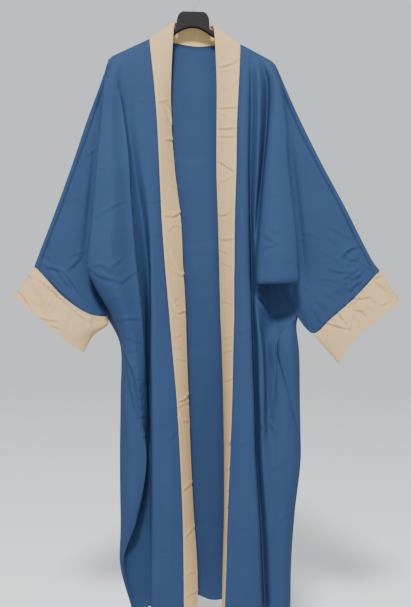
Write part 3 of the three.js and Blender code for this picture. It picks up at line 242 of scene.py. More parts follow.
RIGHT_SLEEVE_BACK = [
  dict(fold=[210.5, 0, -206], outer=[207, 7, -203], middle=[205, 9.5, -201], inner=[203, 11, -199]),
  dict(fold=[220, 0, -231], outer=[217.5, 8, -238], middle=[214, 12, -239], inner=[210, 14, -240]),
  dict(fold=[265, 0, -331], outer=[250, 11, -338], middle=[237, 17, -340], inner=[224, 20, -342]),
  dict(fold=[319, 0, -440], outer=[293, 15, -452], middle=[266, 23, -460], inner=[239, 27, -464]),
  dict(fold=[376, 0, -546], outer=[335, 17, -566], middle=[294, 26, -582], inner=[254, 29, -592]),
  dict(fold=[420, 0, -634], outer=[370, 18, -666], middle=[318, 27, -690], inner=[268, 27, -708]),
  dict(fold=[437, 0, -667], outer=[381, 17, -703], middle=[325, 25, -736], inner=[274, 20, -762]),
  dict(fold=[447, 0, -685], outer=[391, 16, -728], middle=[333, 22, -772], inner=[281, 16, -805]),
  dict(fold=[465, 0, -709], outer=[404, 13, -776], middle=[345, 14, -827], inner=[297, 0, -865]),
]

# %% neckband
# Free edge of each band, from the centre back over the shoulder and down the front.
BAND_CENTRE = dict(seam=[8, 30, -139], free=[8, 33, -84])
# The neckline crosses the arm at the nape points, then runs behind it.
LEFT_NECK = dict(nape=[-103, 13, -130], half=[-57, 23, -131])
RIGHT_NECK = dict(nape=[108, 13, -143], half=[62, 23, -137])
LEFT_BAND_BACK = [-34, 24, -84]
RIGHT_BAND_BACK = [40, 24, -88]
LEFT_BAND_FREE = [[-48, 2, -86], [-49, -6, -93], [-51, -12, -113], [-58, 4, -240], [-57, 13, -340],
  [-48, 13, -460], [-33, 13, -585], [-28, 14, -695], [-25, 13, -741], [-23, 13, -775], [-21, 13, -820],
  [-19, 13, -890], [-14, 14, -1025], [-9, 14, -1160], [-1, 13, -1320], [7, 8, -1435], [10, 4, -1548]]
RIGHT_BAND_FREE = [[48, 2, -94], [49, -6, -101], [51, -12, -122], [57, 1, -240], [57, 8, -340],
  [57, 11, -460], [61, 14, -585], [64, 16, -695], [65, 17, -741], [66, 17, -775], [67, 18, -820],
  [70, 18, -890], [74, 18, -1025], [76, 19, -1160], [76, 18, -1320], [73, 17, -1435], [71, 16, -1548]]
BAND_CROWN = 2                       # the doubled cloth swells this far at the middle

# %% cuffs
# Round each cuff: front from the sleeve's inner end to the overarm, then the back.
CUFF_FOLDS = ["end", "middle", "outer", "over", "fold", "outerBack", "middleBack"]
LEFT_CUFF = [
  dict(end=[-215, 2, -841], middle=[-272, -24, -842], outer=[-334, -22, -800], over=[-406, -9, -731],
    fold=[-417, 0, -725], outerBack=[-336, 24, -798], middleBack=[-264, 25, -838]),
  dict(end=[-252, 0, -870], middle=[-290, -26, -866], outer=[-350, -25, -820], over=[-424, -10, -756],
    fold=[-435, 0, -750], outerBack=[-354, 26, -816], middleBack=[-284, 27, -857]),
  dict(end=[-275, -6, -911], middle=[-308, -22, -889], outer=[-366, -22, -839], over=[-441, -10, -780],
    fold=[-452, 0, -774], outerBack=[-371, 26, -833], middleBack=[-304, 26, -874]),
]
RIGHT_CUFF = [
  dict(end=[318, 0, -889], middle=[357, -20, -845], outer=[412, -18, -797], over=[468, -9, -744],
    fold=[482, 0, -736], outerBack=[415, 20, -798], middleBack=[360, 22, -847]),
  dict(end=[339, -1, -914], middle=[375, -23, -864], outer=[427, -21, -819], over=[486, -10, -771],
    fold=[500, 0, -762], outerBack=[430, 23, -820], middleBack=[378, 25, -867]),
  dict(end=[360, -4, -938], middle=[393, -21, -884], outer=[441, -20, -841], over=[503, -10, -797],
    fold=[517, 0, -789], outerBack=[445, 23, -842], middleBack=[396, 25, -886]),
]

# %% [markdown]
# ## A smooth curve through the folds
# Cloth never kinks between two folds, so every fold line is carried on by a smooth curve.
# A centripetal Catmull-Rom curve is chosen because it passes through its points and makes
# no loops where two of them lie close together, as at the lip of a deep fold.

# %% curves
def span(a, b, c, d, count):
    """The points after b, up to c, on the smooth curve that runs a, b, c, d."""
    t0, t1, t2 = (np.sqrt(np.linalg.norm(q - p, axis=-1, keepdims=True)) for p, q in ((a, b), (b, c), (c, d)))
    t1 = np.where(t1 < 1e-4, 1.0, t1)
    t0 = np.where(t0 < 1e-4, t1, t0)
    t2 = np.where(t2 < 1e-4, t1, t2)
    leave = ((b - a) / t0 - (c - a) / (t0 + t1) + (c - b) / t1) * t1
    arrive = ((c - b) / t1 - (d - b) / (t1 + t2) + (d - c) / t2) * t1
    found = []
    for k in range(1, count + 1):
        t = k / count
        found.append(b * (2 * t**3 - 3 * t**2 + 1) + leave * (t**3 - 2 * t**2 + t)
                     + c * (3 * t**2 - 2 * t**3) + arrive * (t**3 - t**2))
    return np.array(found)


def smooth(line, counts):
    """The curve through line[0], line[1] and so on, with counts[i] steps in span i."""
    line = np.asarray(line, float)
    ends = np.concatenate([[2 * line[0] - line[1]], line, [2 * line[-1] - line[-2]]])
    spans = [span(*ends[i:i + 4], count) for i, count in enumerate(counts)]
    return np.concatenate([line[:1], *spans])


def twice(line):
    """The same curve with a point added half way between every two."""
    return smooth(line, [2] * (len(line) - 1))


def across(rows, counts):
    return smooth(np.swapaxes(np.asarray(rows, float), 0, 1), counts).swapaxes(0, 1)


def place(p, height=0):
    return [p[0], p[1], p[2] if len(p) > 2 else height]


def row_of(names, values):
    return [place(values[name], values.get("z", 0)) for name in names]


def steps_for(rows, size):
    """How many steps each span takes, so that none is longer than size in any row."""
    widest = np.linalg.norm(np.diff(np.asarray(rows, float), axis=1), axis=2).max(axis=0)
    return [max(2, math.ceil(w / size)) for w in widest]


FINE = 3.6                                        # across the fronts, in millimetres
BROAD = 8.6                                       # across the back
BAND_STEPS = 13                                   # across half a band, and from ring to ring of a cuff
heights = [row["z"] for row in LEFT_FRONT]
DOWN = [2, 4, 22] + [math.ceil((a - b) / FINE) for a, b in zip(heights, heights[1:])]
print("steps from the shoulder to the hem:", sum(DOWN))

# %% [markdown]
# ## Over the shoulders
# The cloth lies on the hanger's arms along a straight ridge and turns over it to the front
# and to the back. At each tip the sleeve's folds gather to a point. The ridge is worked out
# from the hanger's slope and tilt instead of being drawn, so that cloth and hanger fit.

# %% shoulder ridge
def turned(x, z):
    return [x * math.cos(TILT) + z * math.sin(TILT), -x * math.sin(TILT) + z * math.cos(TILT)]


def ridge(side, x):
    tip_x, tip_z = turned(side * TIP_REACH, -TIP_DROP)
    return [x, 0, tip_z + (abs(tip_x) - abs(x)) * math.tan(SHOULDER_SLOPE + side * TILT)]


def tip(side):
    return ridge(side, turned(side * TIP_REACH, -TIP_DROP)[0])


TURN_OVER = [dict(back=7, drop=2.5), dict(back=12, drop=12)]
GATHERED = dict(                                  # at the shoulder tip, for each sleeve fold
    inner=dict(out=-2.6, deep=6.4, drop=3, along=5.6),
    middle=dict(out=-1.2, deep=5.4, drop=4.5, along=3.6),
    outer=dict(out=0.3, deep=4.2, drop=6, along=1.8),
    over=dict(out=1.4, deep=2.6, drop=7, along=0),
    fold=dict(out=2.4, deep=0, drop=7.5, along=0),
)


def over_arm(names, xs, side, facing, step):
    turn = TURN_OVER[step]
    tops = [ridge(side, xs[name]) for name in names]
    return [[x, facing * turn["back"], z - turn["drop"]] for x, _, z in tops]


def tip_row(side, facing, step, names):
    x, _, z = tip(side)
    if step == 0:
        return [ridge(side, x - side * GATHERED[name]["along"]) for name in names]
    folds = [GATHERED[name] for name in names]
    return [[x + side * f["out"], facing * f["deep"], z - f["drop"]] for f in folds]


print("shoulder tips at", [round(v) for v in tip(-1)], [round(v) for v in tip(1)])

# %% [markdown]
# ## The fronts
# Each front is one piece with the front half of its sleeve. Down to the underarm a level
# runs on into the sleeve. Below it only the body goes on, so the side edge turns a corner
# there, and the curve down that edge is drawn in two parts.

# %% the two fronts
skin = []                                         # one entry for each patch of cloth


def patch(panel, grid, flip=False):
    skin.append(dict(panel=panel, grid=grid, flip=flip))


def patches_of(panel):
    return [p for p in skin if p["panel"] == panel]


def drawn_down(rows, counts, corner=()):
    grid = smooth(rows, counts)
    for column in corner:
        before = smooth(rows[:UNDERARM + 1, column], counts[:UNDERARM])
        after = smooth(rows[UNDERARM:, column], counts[UNDERARM:])
        grid[:, column] = np.concatenate([before, after[1:]])
    return grid


def front_levels(side, folds, xs, body, sleeve):
    """Control points: whole levels down to the underarm, then the body alone."""
    rows = [[ridge(side, xs[name]) for name in folds] + tip_row(side, -1, 0, SLEEVE_FOLDS)]
    rows.append(over_arm(folds, xs, side, -1, 0) + tip_row(side, -1, 1, SLEEVE_FOLDS))
    rows.append(over_arm(folds, xs, side, -1, 1) + row_of(SLEEVE_FOLDS, sleeve[0]))
    split = UNDERARM - 2
    rows += [row_of(folds, b) + row_of(SLEEVE_FOLDS, s) for b, s in zip(body[:split], sleeve[1:])]
    return rows, [row_of(folds, b) for b in body[split:]]


def lay_front(panel, side, folds, xs, body, sleeve, flip):
    upper, lower = front_levels(side, folds, xs, body, sleeve)
    last = len(folds) - 1
    counts = steps_for(upper, FINE)
    low_counts = steps_for(lower, FINE)
    counts[:last] = [max(a, b) for a, b in zip(counts, low_counts)]
    edge = sum(counts[:last])
    fine = across(upper, counts)
    body_rows = np.concatenate([fine[:, :edge + 1], across(lower, counts[:last])])
    body_grid = drawn_down(body_rows, DOWN, corner=[edge])
    sleeve_grid = smooth(fine[:, edge:], DOWN[:UNDERARM])
    patch(panel, body_grid, flip)
    patch(panel, sleeve_grid, flip)
    print(panel, "body", body_grid.shape[:2], "sleeve", sleeve_grid.shape[:2])
    return dict(seam=body_grid[:, 0], over=[row[-1] for row in upper], cuff=sleeve_grid[-1, counts[last]:],
                around=counts[last + 1:])


left_front = lay_front("front_left", -1, LEFT_FOLDS, LEFT_RIDGE, LEFT_FRONT, LEFT_SLEEVE, False)
right_front = lay_front("front_right", 1, RIGHT_FOLDS, RIGHT_RIDGE, RIGHT_FRONT, RIGHT_SLEEVE, True)

# %% [markdown]
# ## The back
# The back is one piece with the back halves of both sleeves. It shares its side edges and
# its overarm edges with the fronts, point for point, so that the seams close. Its top edge
# is straight on each shoulder and dips behind the arm in between, where the collar is sewn.

# %% the back
RIDGE_BACK = dict(side=0.06, wrap=0.1, turn=0.15, crest=0.24, valley=0.43, dip=0.7, neck=1)


def back_half(side, front_xs, body, sleeve, half):
    tip_x = tip(side)[0]
    xs = {name: tip_x + (front_xs["seam"] - tip_x) * share for name, share in RIDGE_BACK.items()}
    xs["side"] = front_xs["side"]
    names = BACK_FOLDS[:-1]
    rows = [tip_row(side, 1, 0, BACK_SLEEVE_FOLDS) + [ridge(side, xs[name]) for name in names] + [half]]
    rows.append(tip_row(side, 1, 1, BACK_SLEEVE_FOLDS) + over_arm(names, xs, side, 1, 0)
                + [[half[0], half[1] + 1, half[2] - 4]])
    rows.append(row_of(BACK_SLEEVE_FOLDS, sleeve[0]) + over_arm(names, xs, side, 1, 1)
                + [[half[0], half[1] + 3.25, half[2] - 13]])
    split = UNDERARM - 2
    rows += [row_of(BACK_SLEEVE_FOLDS, s) + row_of(BACK_FOLDS, b) for b, s in zip(body[:split], sleeve[1:])]
    return rows, [row_of(BACK_FOLDS, b) for b in body[split:]]


def straight(points, counts):
    points = np.asarray(points, float)
    found = [points[:1]]
    for a, b, count in zip(points, points[1:], counts):
        found.append(a + (b - a) * np.arange(1, count + 1)[:, None] / count)
    return np.concatenate(found)


def back_top(line, half_counts):
    """Straight along each shoulder ridge, and a curve round the neck between them."""
    shoulder = len(half_counts) - 2
    last = len(line) - 1
    neck = [line[shoulder], LEFT_NECK["nape"], *line[shoulder + 1:last - shoulder], RIGHT_NECK["nape"],
            line[last - shoulder]]
    to_half = half_counts[-2] // 2
    half_way = half_counts[-1]
    curve = smooth(neck, [to_half, to_half, half_way, half_way, to_half, to_half])
    left = straight(line[:shoulder + 1], half_counts[:shoulder])
    right = straight(line[last - shoulder:], half_counts[:shoulder][::-1])
    return np.concatenate([left, curve[1:], right[1:]])


def lay_back():
    left, left_low = back_half(-1, LEFT_RIDGE, LEFT_BACK, LEFT_SLEEVE_BACK, LEFT_NECK["half"])
    right, right_low = back_half(1, RIGHT_RIDGE, RIGHT_BACK, RIGHT_SLEEVE_BACK, RIGHT_NECK["half"])
    centre = [BAND_CENTRE["seam"], *CENTRE_BACK]
    upper = [[left_front["over"][i], *l, centre[i], *r[::-1], right_front["over"][i]]
             for i, (l, r) in enumerate(zip(left, right))]
    lower = [[*l, centre[UNDERARM + 1 + i], *r[::-1]] for i, (l, r) in enumerate(zip(left_low, right_low))]
    arm = len(BACK_SLEEVE_FOLDS) + 1
    both = steps_for(upper, BROAD)
    low = steps_for(lower, BROAD)
    mid = len(both) // 2
    body = [max(both[arm + i], both[-arm - i - 1], low[i], low[-i - 1]) for i in range(mid - arm)]
    body = [n + n % 2 for n in body]
    sleeve = [max(both[i], both[-i - 1]) for i in range(arm)]
    half_counts = sleeve + body
    counts = half_counts + half_counts[::-1]
    fine = across(upper, counts)
    fine[0] = back_top(upper[0], half_counts)
    start, end = sum(sleeve), sum(counts) - sum(sleeve)
    body_rows = np.concatenate([fine[:, start:end + 1], across(lower, body + body[::-1])])
    body_grid = drawn_down(body_rows, DOWN, corner=[0, -1])
    left_sleeve = smooth(fine[:, :start + 1], DOWN[:UNDERARM])
    right_sleeve = smooth(fine[:, end:], DOWN[:UNDERARM])
    for grid in (body_grid, left_sleeve, right_sleeve):
        patch("back", grid)
    print("back body", body_grid.shape[:2], "sleeves", left_sleeve.shape[:2], right_sleeve.shape[:2])
    ends = sum(sleeve[:-1])
    return dict(neck=body_grid[0], from_neck=sum(body[:-2]), half=body[-2] + body[-1],
                left_cuff=left_sleeve[-1, :ends + 1], right_cuff=right_sleeve[-1, ::-1][:ends + 1],
                around=sleeve[:-1])


the_back = lay_back()

# %% [markdown]
# ## The neckband
# A doubled strip of lighter cloth runs from the centre back over each shoulder to the hem.
# It is made as two pieces that meet at the centre-back seam. Each has the panel's own edge
# on one side and its free edge on the other, and swells a little in the middle, as a folded
# strip does. The bands and cuffs have points twice as close as the panels, because their
# creases are the sharpest.

# %% the two bands
def crowned(rows, flip):
    """Lifts the middle of every strip along the way that it faces."""
    middles = rows[:, 1].copy()
    before = np.concatenate([middles[:1], middles[:-1]])
    after = np.concatenate([middles[1:], middles[-1:]])
    facing = np.cross(rows[:, 2] - rows[:, 0], after - before)
    facing *= (-1 if flip else 1) * BAND_CROWN / np.linalg.norm(facing, axis=1, keepdims=True)
    facing[0] = [0, BAND_CROWN, 0]
    rows[:, 1] += facing
    return rows


def lay_band(panel, seam, neck_seam, behind, free, flip):
    half = (len(neck_seam) - 1) // 2
    neck_free = smooth([BAND_CENTRE["free"], behind, *free[:3]], [half, len(neck_seam) - 1 - half, 1, 1])
    neck_free = neck_free[:len(neck_seam)]
    edge = twice(np.concatenate([neck_free, smooth(free, DOWN)[1:]]))
    sewn = twice(np.concatenate([neck_seam, seam[1:]]))
    rows = crowned(np.stack([edge, (edge + sewn) / 2, sewn], axis=1), flip)
    grid = across(rows, [BAND_STEPS] * 2)
    patch(panel, grid, flip)
    print(panel, grid.shape[:2])


neck_from, neck_half = the_back["from_neck"], the_back["half"]
neck_row = the_back["neck"]
left_neck_seam = neck_row[neck_from:neck_from + neck_half + 1][::-1]
right_neck_seam = neck_row[neck_from + neck_half:neck_from + 2 * neck_half + 1]
lay_band("neckband_left", left_front["seam"], left_neck_seam, LEFT_BAND_BACK, LEFT_BAND_FREE, False)
lay_band("neckband_right", right_front["seam"], right_neck_seam, RIGHT_BAND_BACK, RIGHT_BAND_FREE, True)

# %% [markdown]
# ## The cuffs
# Each cuff is a ring of doubled cloth sewn to the sleeve's end, open at its mouth. The first
# ring is the sleeve's own edge and the rest come from the table.

# %% the two cuffs
def lay_cuff(panel, front, back_edge, table, flip):
    top = twice(np.concatenate([front["cuff"], back_edge[1:]]))
    around = [2 * count for count in (*front["around"], *the_back["around"])]
    rings = [top]
    for row in table:
        ring = [row[name] for name in CUFF_FOLDS]
        curve = smooth([ring[-1], *ring, ring[0], ring[1]], [1, *around, 1])
        rings.append(curve[1:-1])
    grid = smooth(rings, [BAND_STEPS] * 3)
    grid[:, -1] = grid[:, 0]
    patch(panel, grid, flip)
    print(panel, grid.shape[:2])


lay_cuff("cuff_left", left_front, the_back["left_cuff"], LEFT_CUFF, False)
lay_cuff("cuff_right", right_front, the_back["right_cuff"], RIGHT_CUFF, True)

# %% [markdown]
# ## One skin
# The patches are joined into one skin by giving points in the same place one number. Then
# a crease that crosses a seam moves both pieces alike, and both get the same facing there.

# %% joining the patches
def joined():
    points = np.concatenate([p["grid"].reshape(-1, 3) for p in skin])
    _, first, number = np.unique(np.round(points * 500).astype(np.int64), axis=0, return_index=True,
                                 return_inverse=True)
    number = number.ravel()
    start, faces, owner = 0, [], []
    for p in skin:
        rows, columns = p["grid"].shape[:2]
        ids = number[start:start + rows * columns].reshape(rows, columns)
        start += rows * columns
        p["ids"] = ids
        quads = np.stack([ids[:-1, :-1], ids[:-1, 1:], ids[1:, 1:], ids[1:, :-1]], axis=-1).reshape(-1, 4)
        quads = quads[:, ::-1] if p["flip"] else quads
        keep = np.array([len(set(q)) > 2 for q in quads.tolist()])
        p["faces"] = quads[keep]
        faces.append(quads[keep])
        owner += [p["panel"]] * int(keep.sum())
    return points[first], np.concatenate(faces), np.array(owner)


def face_ways(corners):
    """The way that each four-cornered face looks."""
    square = np.cross(corners[:, 2] - corners[:, 0], corners[:, 3] - corners[:, 1])
    return square / np.maximum(np.linalg.norm(square, axis=1, keepdims=True), 1e-9)


def facings(points, faces):
    """The outward facing at every point, each face counted by its corner there."""
    corners = points[faces]
    square = face_ways(corners)
    found = np.zeros_like(points)
    for k in range(4):
        ahead = corners[:, (k + 1) % 4] - corners[:, k]
        behind = corners[:, (k + 3) % 4] - corners[:, k]
        lengths = np.linalg.norm(ahead, axis=1) * np.linalg.norm(behind, axis=1)
        turn = np.arccos(np.clip(np.sum(ahead * behind, axis=1) / np.maximum(lengths, 1e-9), -1, 1))
        turn[lengths < 1e-8] = 0
        np.add.at(found, faces[:, k], square * turn[:, None])
    found /= np.maximum(np.linalg.norm(found, axis=1, keepdims=True), 1e-9)
    for side, xs in ((-1, LEFT_RIDGE), (1, RIGHT_RIDGE)):
        slope = SHOULDER_SLOPE + side * TILT
        tip_x, _, tip_z = tip(side)
        height = tip_z + (abs(tip_x) - np.abs(points[:, 0])) * math.tan(slope)
        on_ridge = (points[:, 0] * side > abs(xs["seam"]) - 1) & (np.abs(points[:, 2] - height) < 0.01)
        on_ridge &= np.abs(points[:, 1]) < 1e-6
        found[on_ridge] = [side * math.sin(slope), 0, math.cos(slope)]
    return found


points, faces, owner = joined()
out = facings(points, faces)
panels = list(dict.fromkeys(p["panel"] for p in skin))
members = {panel: np.unique(faces[owner == panel]) for panel in panels}
shared = np.zeros(len(points), int)
for panel in panels:
    shared[members[panel]] += 1
on_shoulder = (np.abs(points[:, 1]) < 1e-6) & (np.abs(points[:, 0]) > 100) & (points[:, 2] > -215)
sewn = (shared > 1) | on_shoulder
print(len(points), "points,", len(faces), "faces,", int(sewn.sum()), "points on seams")

# %% [markdown]
# ## Seams
# A sewn seam pulls the cloth down along its line, and the cloth swells again beside it.
# The distance from every point to the nearest seam is measured once, and the dip and the
# swell are worked out from it. The overarm seams lie in a deeper groove, the shoulder tips
# are rounded off, and the doubled cuffs stand up beside the seams that hold them.

# %% seam dips
def distance_to(chosen, targets, reach):
    """How far each chosen point lies from the nearest target, up to reach."""
    tree = kdtree.KDTree(len(targets))
    for n, i in enumerate(targets.tolist()):
        tree.insert(points[i], n)
    tree.balance()
    found = np.full(len(points), reach, float)
    for i in chosen.tolist():
        found[i] = min(tree.find(points[i])[2], reach)
    return found


SEAM_DIP, SEAM_WIDTH = 0.9, 2.6
SEAM_SWELL, SWELL_FROM, SWELL_WIDTH = 0.45, 7.5, 4.0
GROOVE, GROOVE_WIDTH, GROOVE_FROM, GROOVE_FADE = 1.8, 3.0, 225, 60     # along the overarm seams
TIP_ROUNDING, TIP_WIDTH = 2.2, 10
CUFF_STAND, STAND_FROM, STAND_WIDTH = 2.0, 3.0, 1.6
SLACK = dict(x=230, z=-862, wide=40, high=48, keeps=0.2)
FURTHEST = 30.0                                   # seams further off than this have no effect
every_point = np.arange(len(points))
from_seam = distance_to(every_point, np.flatnonzero(sewn), FURTHEST)
lift = -SEAM_DIP * np.exp(-(from_seam / SEAM_WIDTH) ** 2)
lift += SEAM_SWELL * np.exp(-((from_seam - SWELL_FROM) / SWELL_WIDTH) ** 2)
overarm = sewn & (np.abs(points[:, 1] + 5) < 1) & (np.abs(points[:, 0]) > 214) & (points[:, 2] < -215)
from_overarm = distance_to(every_point, np.flatnonzero(overarm), FURTHEST)
fading_in = np.clip((-points[:, 2] - GROOVE_FROM) / GROOVE_FADE, 0, 1)
lift -= GROOVE * np.exp(-(from_overarm / GROOVE_WIDTH) ** 2) * fading_in
for side in (-1, 1):                              # the shoulder tips are rounded off
    lift -= TIP_ROUNDING * np.exp(-(np.linalg.norm(points - tip(side), axis=1) / TIP_WIDTH) ** 2)
for panel in ("cuff_left", "cuff_right"):         # the doubled cuff stands up beside its seam
    near = members[panel]
    lift[near] += CUFF_STAND * np.exp(-((from_seam[near] - STAND_FROM) / STAND_WIDTH) ** 2)
slack = np.abs(points[:, 0] - SLACK["x"]) < SLACK["wide"]
slack &= np.abs(points[:, 2] - SLACK["z"]) < SLACK["high"]
lift[slack] *= SLACK["keeps"]                     # the slack cloth hides its seam here
print("seams dip", SEAM_DIP, "mm")

# %% [markdown]
# ## Creases and drag lines
# Packed and hung cloth keeps creases, and it drags in lines between its seams and the
# points that carry it. Each is placed on one piece of cloth: how wide it is, how far
# it stands out, and the line that it follows, in places (across, up) as someone standing in
# front sees them. A crease is a soft ridge with a shallow trough along one side, and it
# fades at both ends. They are uneven in length, depth and spacing, as real ones are.

# %% how a crease is pressed in
VIEW_FROM = 2000.0                                # where that someone stands, in millimetres
EYE_HEIGHT = -790.0


def as_seen():
    """Across and up of every point, as seen on the hanger's plane."""
    scale = VIEW_FROM / (VIEW_FROM + points[:, 1])
    return np.stack([points[:, 0] * scale, EYE_HEIGHT + (points[:, 2] - EYE_HEIGHT) * scale], axis=1)


seen = as_seen()
front_share = np.clip((-out[:, 1] - 0.05) / 0.4, 0, 1)
back_share = np.clip((out[:, 1] - 0.05) / 0.4, 0, 1)


def press(panel, wide, high, line, behind=False, trough=0.55):
    """Adds one crease to a panel's lift; behind is for cloth that faces backwards."""
    chosen = members[panel]
    line = np.asarray(line, float)
    low, top = line.min(axis=0) - 5 * wide, line.max(axis=0) + 5 * wide
    chosen = chosen[np.all((seen[chosen] > low) & (seen[chosen] < top), axis=1)]
    away = np.full(len(chosen), 1e9)
    along = np.zeros(len(chosen))
    run = 0.0
    for a, b in zip(line, line[1:]):
        way, offset = b - a, seen[chosen] - a
        length = np.linalg.norm(way)
        share = np.clip(offset @ way / length**2, 0, 1)
        gap = np.linalg.norm(offset - share[:, None] * way, axis=1)
        gap *= np.where(way[0] * offset[:, 1] > way[1] * offset[:, 0], 1, -1)
        closer = np.abs(gap) < np.abs(away)
        away[closer] = gap[closer]
        along[closer] = run + share[closer] * length
        run += length
    fade = np.clip(1 - (2 * along / run - 1) ** 2, 0, 1) ** 0.6
    shape = np.exp(-np.abs(away / wide) ** 1.1) - trough * np.exp(-(away / wide / 1.3 + 1.6) ** 2)
    lift[chosen] += high * fade * shape * (back_share if behind else front_share)[chosen]


def press_all(panel, creases, behind=False):
    for wide, high, line in creases:
        press(panel, wide, high, line, behind)
    print(len(creases), "creases pressed into", panel)


# %% creases on the left-hand side
LEFT_CREASES = [
    # Left sleeve
    (3.6, 1.4, [(-276, -425), (-257, -410), (-241, -397)]),
    (3.6, 1.7, [(-338, -584), (-329, -575)]),
    (3.6, 1.9, [(-354, -631), (-363, -656)]),
    (3.6, 4.0, [(-322, -709), (-300, -691), (-282, -669)]),
    (3.6, 1.9, [(-308, -669), (-288, -664), (-270, -659)]),
    (4.5, 3.4, [(-345, -696), (-335, -711), (-322, -731), (-308, -749)]),
    (4.0, 2.8, [(-316, -712), (-295, -744), (-282, -774)]),
    (3.6, 1.7, [(-385, -686), (-365, -695), (-342, -700)]),
    (3.6, 1.4, [(-370, -669), (-355, -679)]),
    (4.5, 1.1, [(-310, -531), (-290, -521)]),
    (3.6, 2.2, [(-388, -696), (-355, -701), (-332, -704), (-318, -716), (-312, -734)]),
    (3.8, 1.8, [(-320, -714), (-298, -744), (-268, -779)]),
    (3.6, 1.4, [(-360, -726), (-335, -756), (-305, -781)]),
    # Left hanging fold
    (3.6, 1.4, [(-238, -451), (-218, -452)]),
    (4.0, 2.3, [(-254, -578), (-222, -556), (-176, -531)]),
    (5.4, 1.4, [(-222, -586), (-210, -611), (-215, -644)]),
    (3.6, 3.6, [(-262, -695), (-229, -691), (-213, -704), (-198, -719)]),
    (3.6, 3.1, [(-262, -699), (-240, -716), (-222, -725), (-202, -731)]),
    (3.6, 2.3, [(-213, -712), (-204, -694), (-179, -675)]),
    (3.6, 2.8, [(-228, -719), (-200, -728), (-182, -736), (-170, -724), (-152, -709)]),
    (4.0, 1.9, [(-148, -654), (-130, -669), (-112, -689)]),
    (3.6, 2.9, [(-195, -832), (-175, -828), (-155, -826), (-132, -830)]),
    (3.6, 2.2, [(-182, -871), (-158, -876), (-132, -889)]),
    (4.0, 1.4, [(-212, -781), (-198, -774), (-180, -779)]),
    (3.6, 1.3, [(-165, -911), (-142, -904)]),
    (4.5, 1.1, [(-152, -781), (-130, -789)]),
    # Edge of the left side seam
    (3.6, 4.7, [(-182, -889), (-165, -926), (-148, -964), (-138, -1021), (-132, -1081),
      (-140, -1116)]),
    (3.6, 2.2, [(-158, -946), (-142, -946)]),
    (3.6, 2.3, [(-150, -979), (-135, -975)]),
    (3.6, 1.9, [(-145, -1001), (-130, -1001)]),
    (3.6, 2.3, [(-142, -1024), (-128, -1021)]),
    (3.6, 1.9, [(-140, -1046), (-125, -1048)]),
    (3.6, 2.2, [(-138, -1071), (-122, -1068)]),
    (3.6, 2.2, [(-132, -1124), (-120, -1116)]),
    (3.6, 2.3, [(-175, -1209), (-150, -1201), (-128, -1199)]),
    (3.6, 1.9, [(-138, -1161), (-118, -1154)]),
    (4.5, 1.9, [(-162, -1331), (-138, -1294)]),
    # Left front
    (3.6, 1.3, [(-98, -1069), (-82, -1084), (-68, -1106)]),
    (3.6, 1.4, [(-65, -1134), (-55, -1121), (-42, -1106)]),
    (3.6, 1.4, [(-105, -1409), (-80, -1406), (-55, -1405)]),
    (4.5, 1.1, [(-102, -611), (-85, -621)]),
    (4.5, 1.1, [(-118, -526), (-100, -534), (-80, -529)]),
    (4.5, 1.3, [(-135, -281), (-120, -284)]),
    (4.5, 0.8, [(-92, -1246), (-65, -1236)]),
]
press_all("front_left", LEFT_CREASES)
# Where the hanging fold turns sharply from its flat front, and the long ridge beside the band.
press("front_left", 14, 14, [(-190, -255), (-178, -381), (-163, -586), (-155, -681), (-138, -831),
  (-126, -994)], trough=0)
press("front_left", 9, 6, [(-196, -225), (-186, -300), (-176, -400), (-166, -500)], trough=0)
press("front_left", 6, 5, [(-221, -215), (-230, -340), (-240, -456), (-254, -606), (-264, -705)], trough=0.9)
press("front_left", 9, 2.2, [(-55, -1080), (-57, -1250), (-60, -1400), (-60, -1560)], trough=0.4)

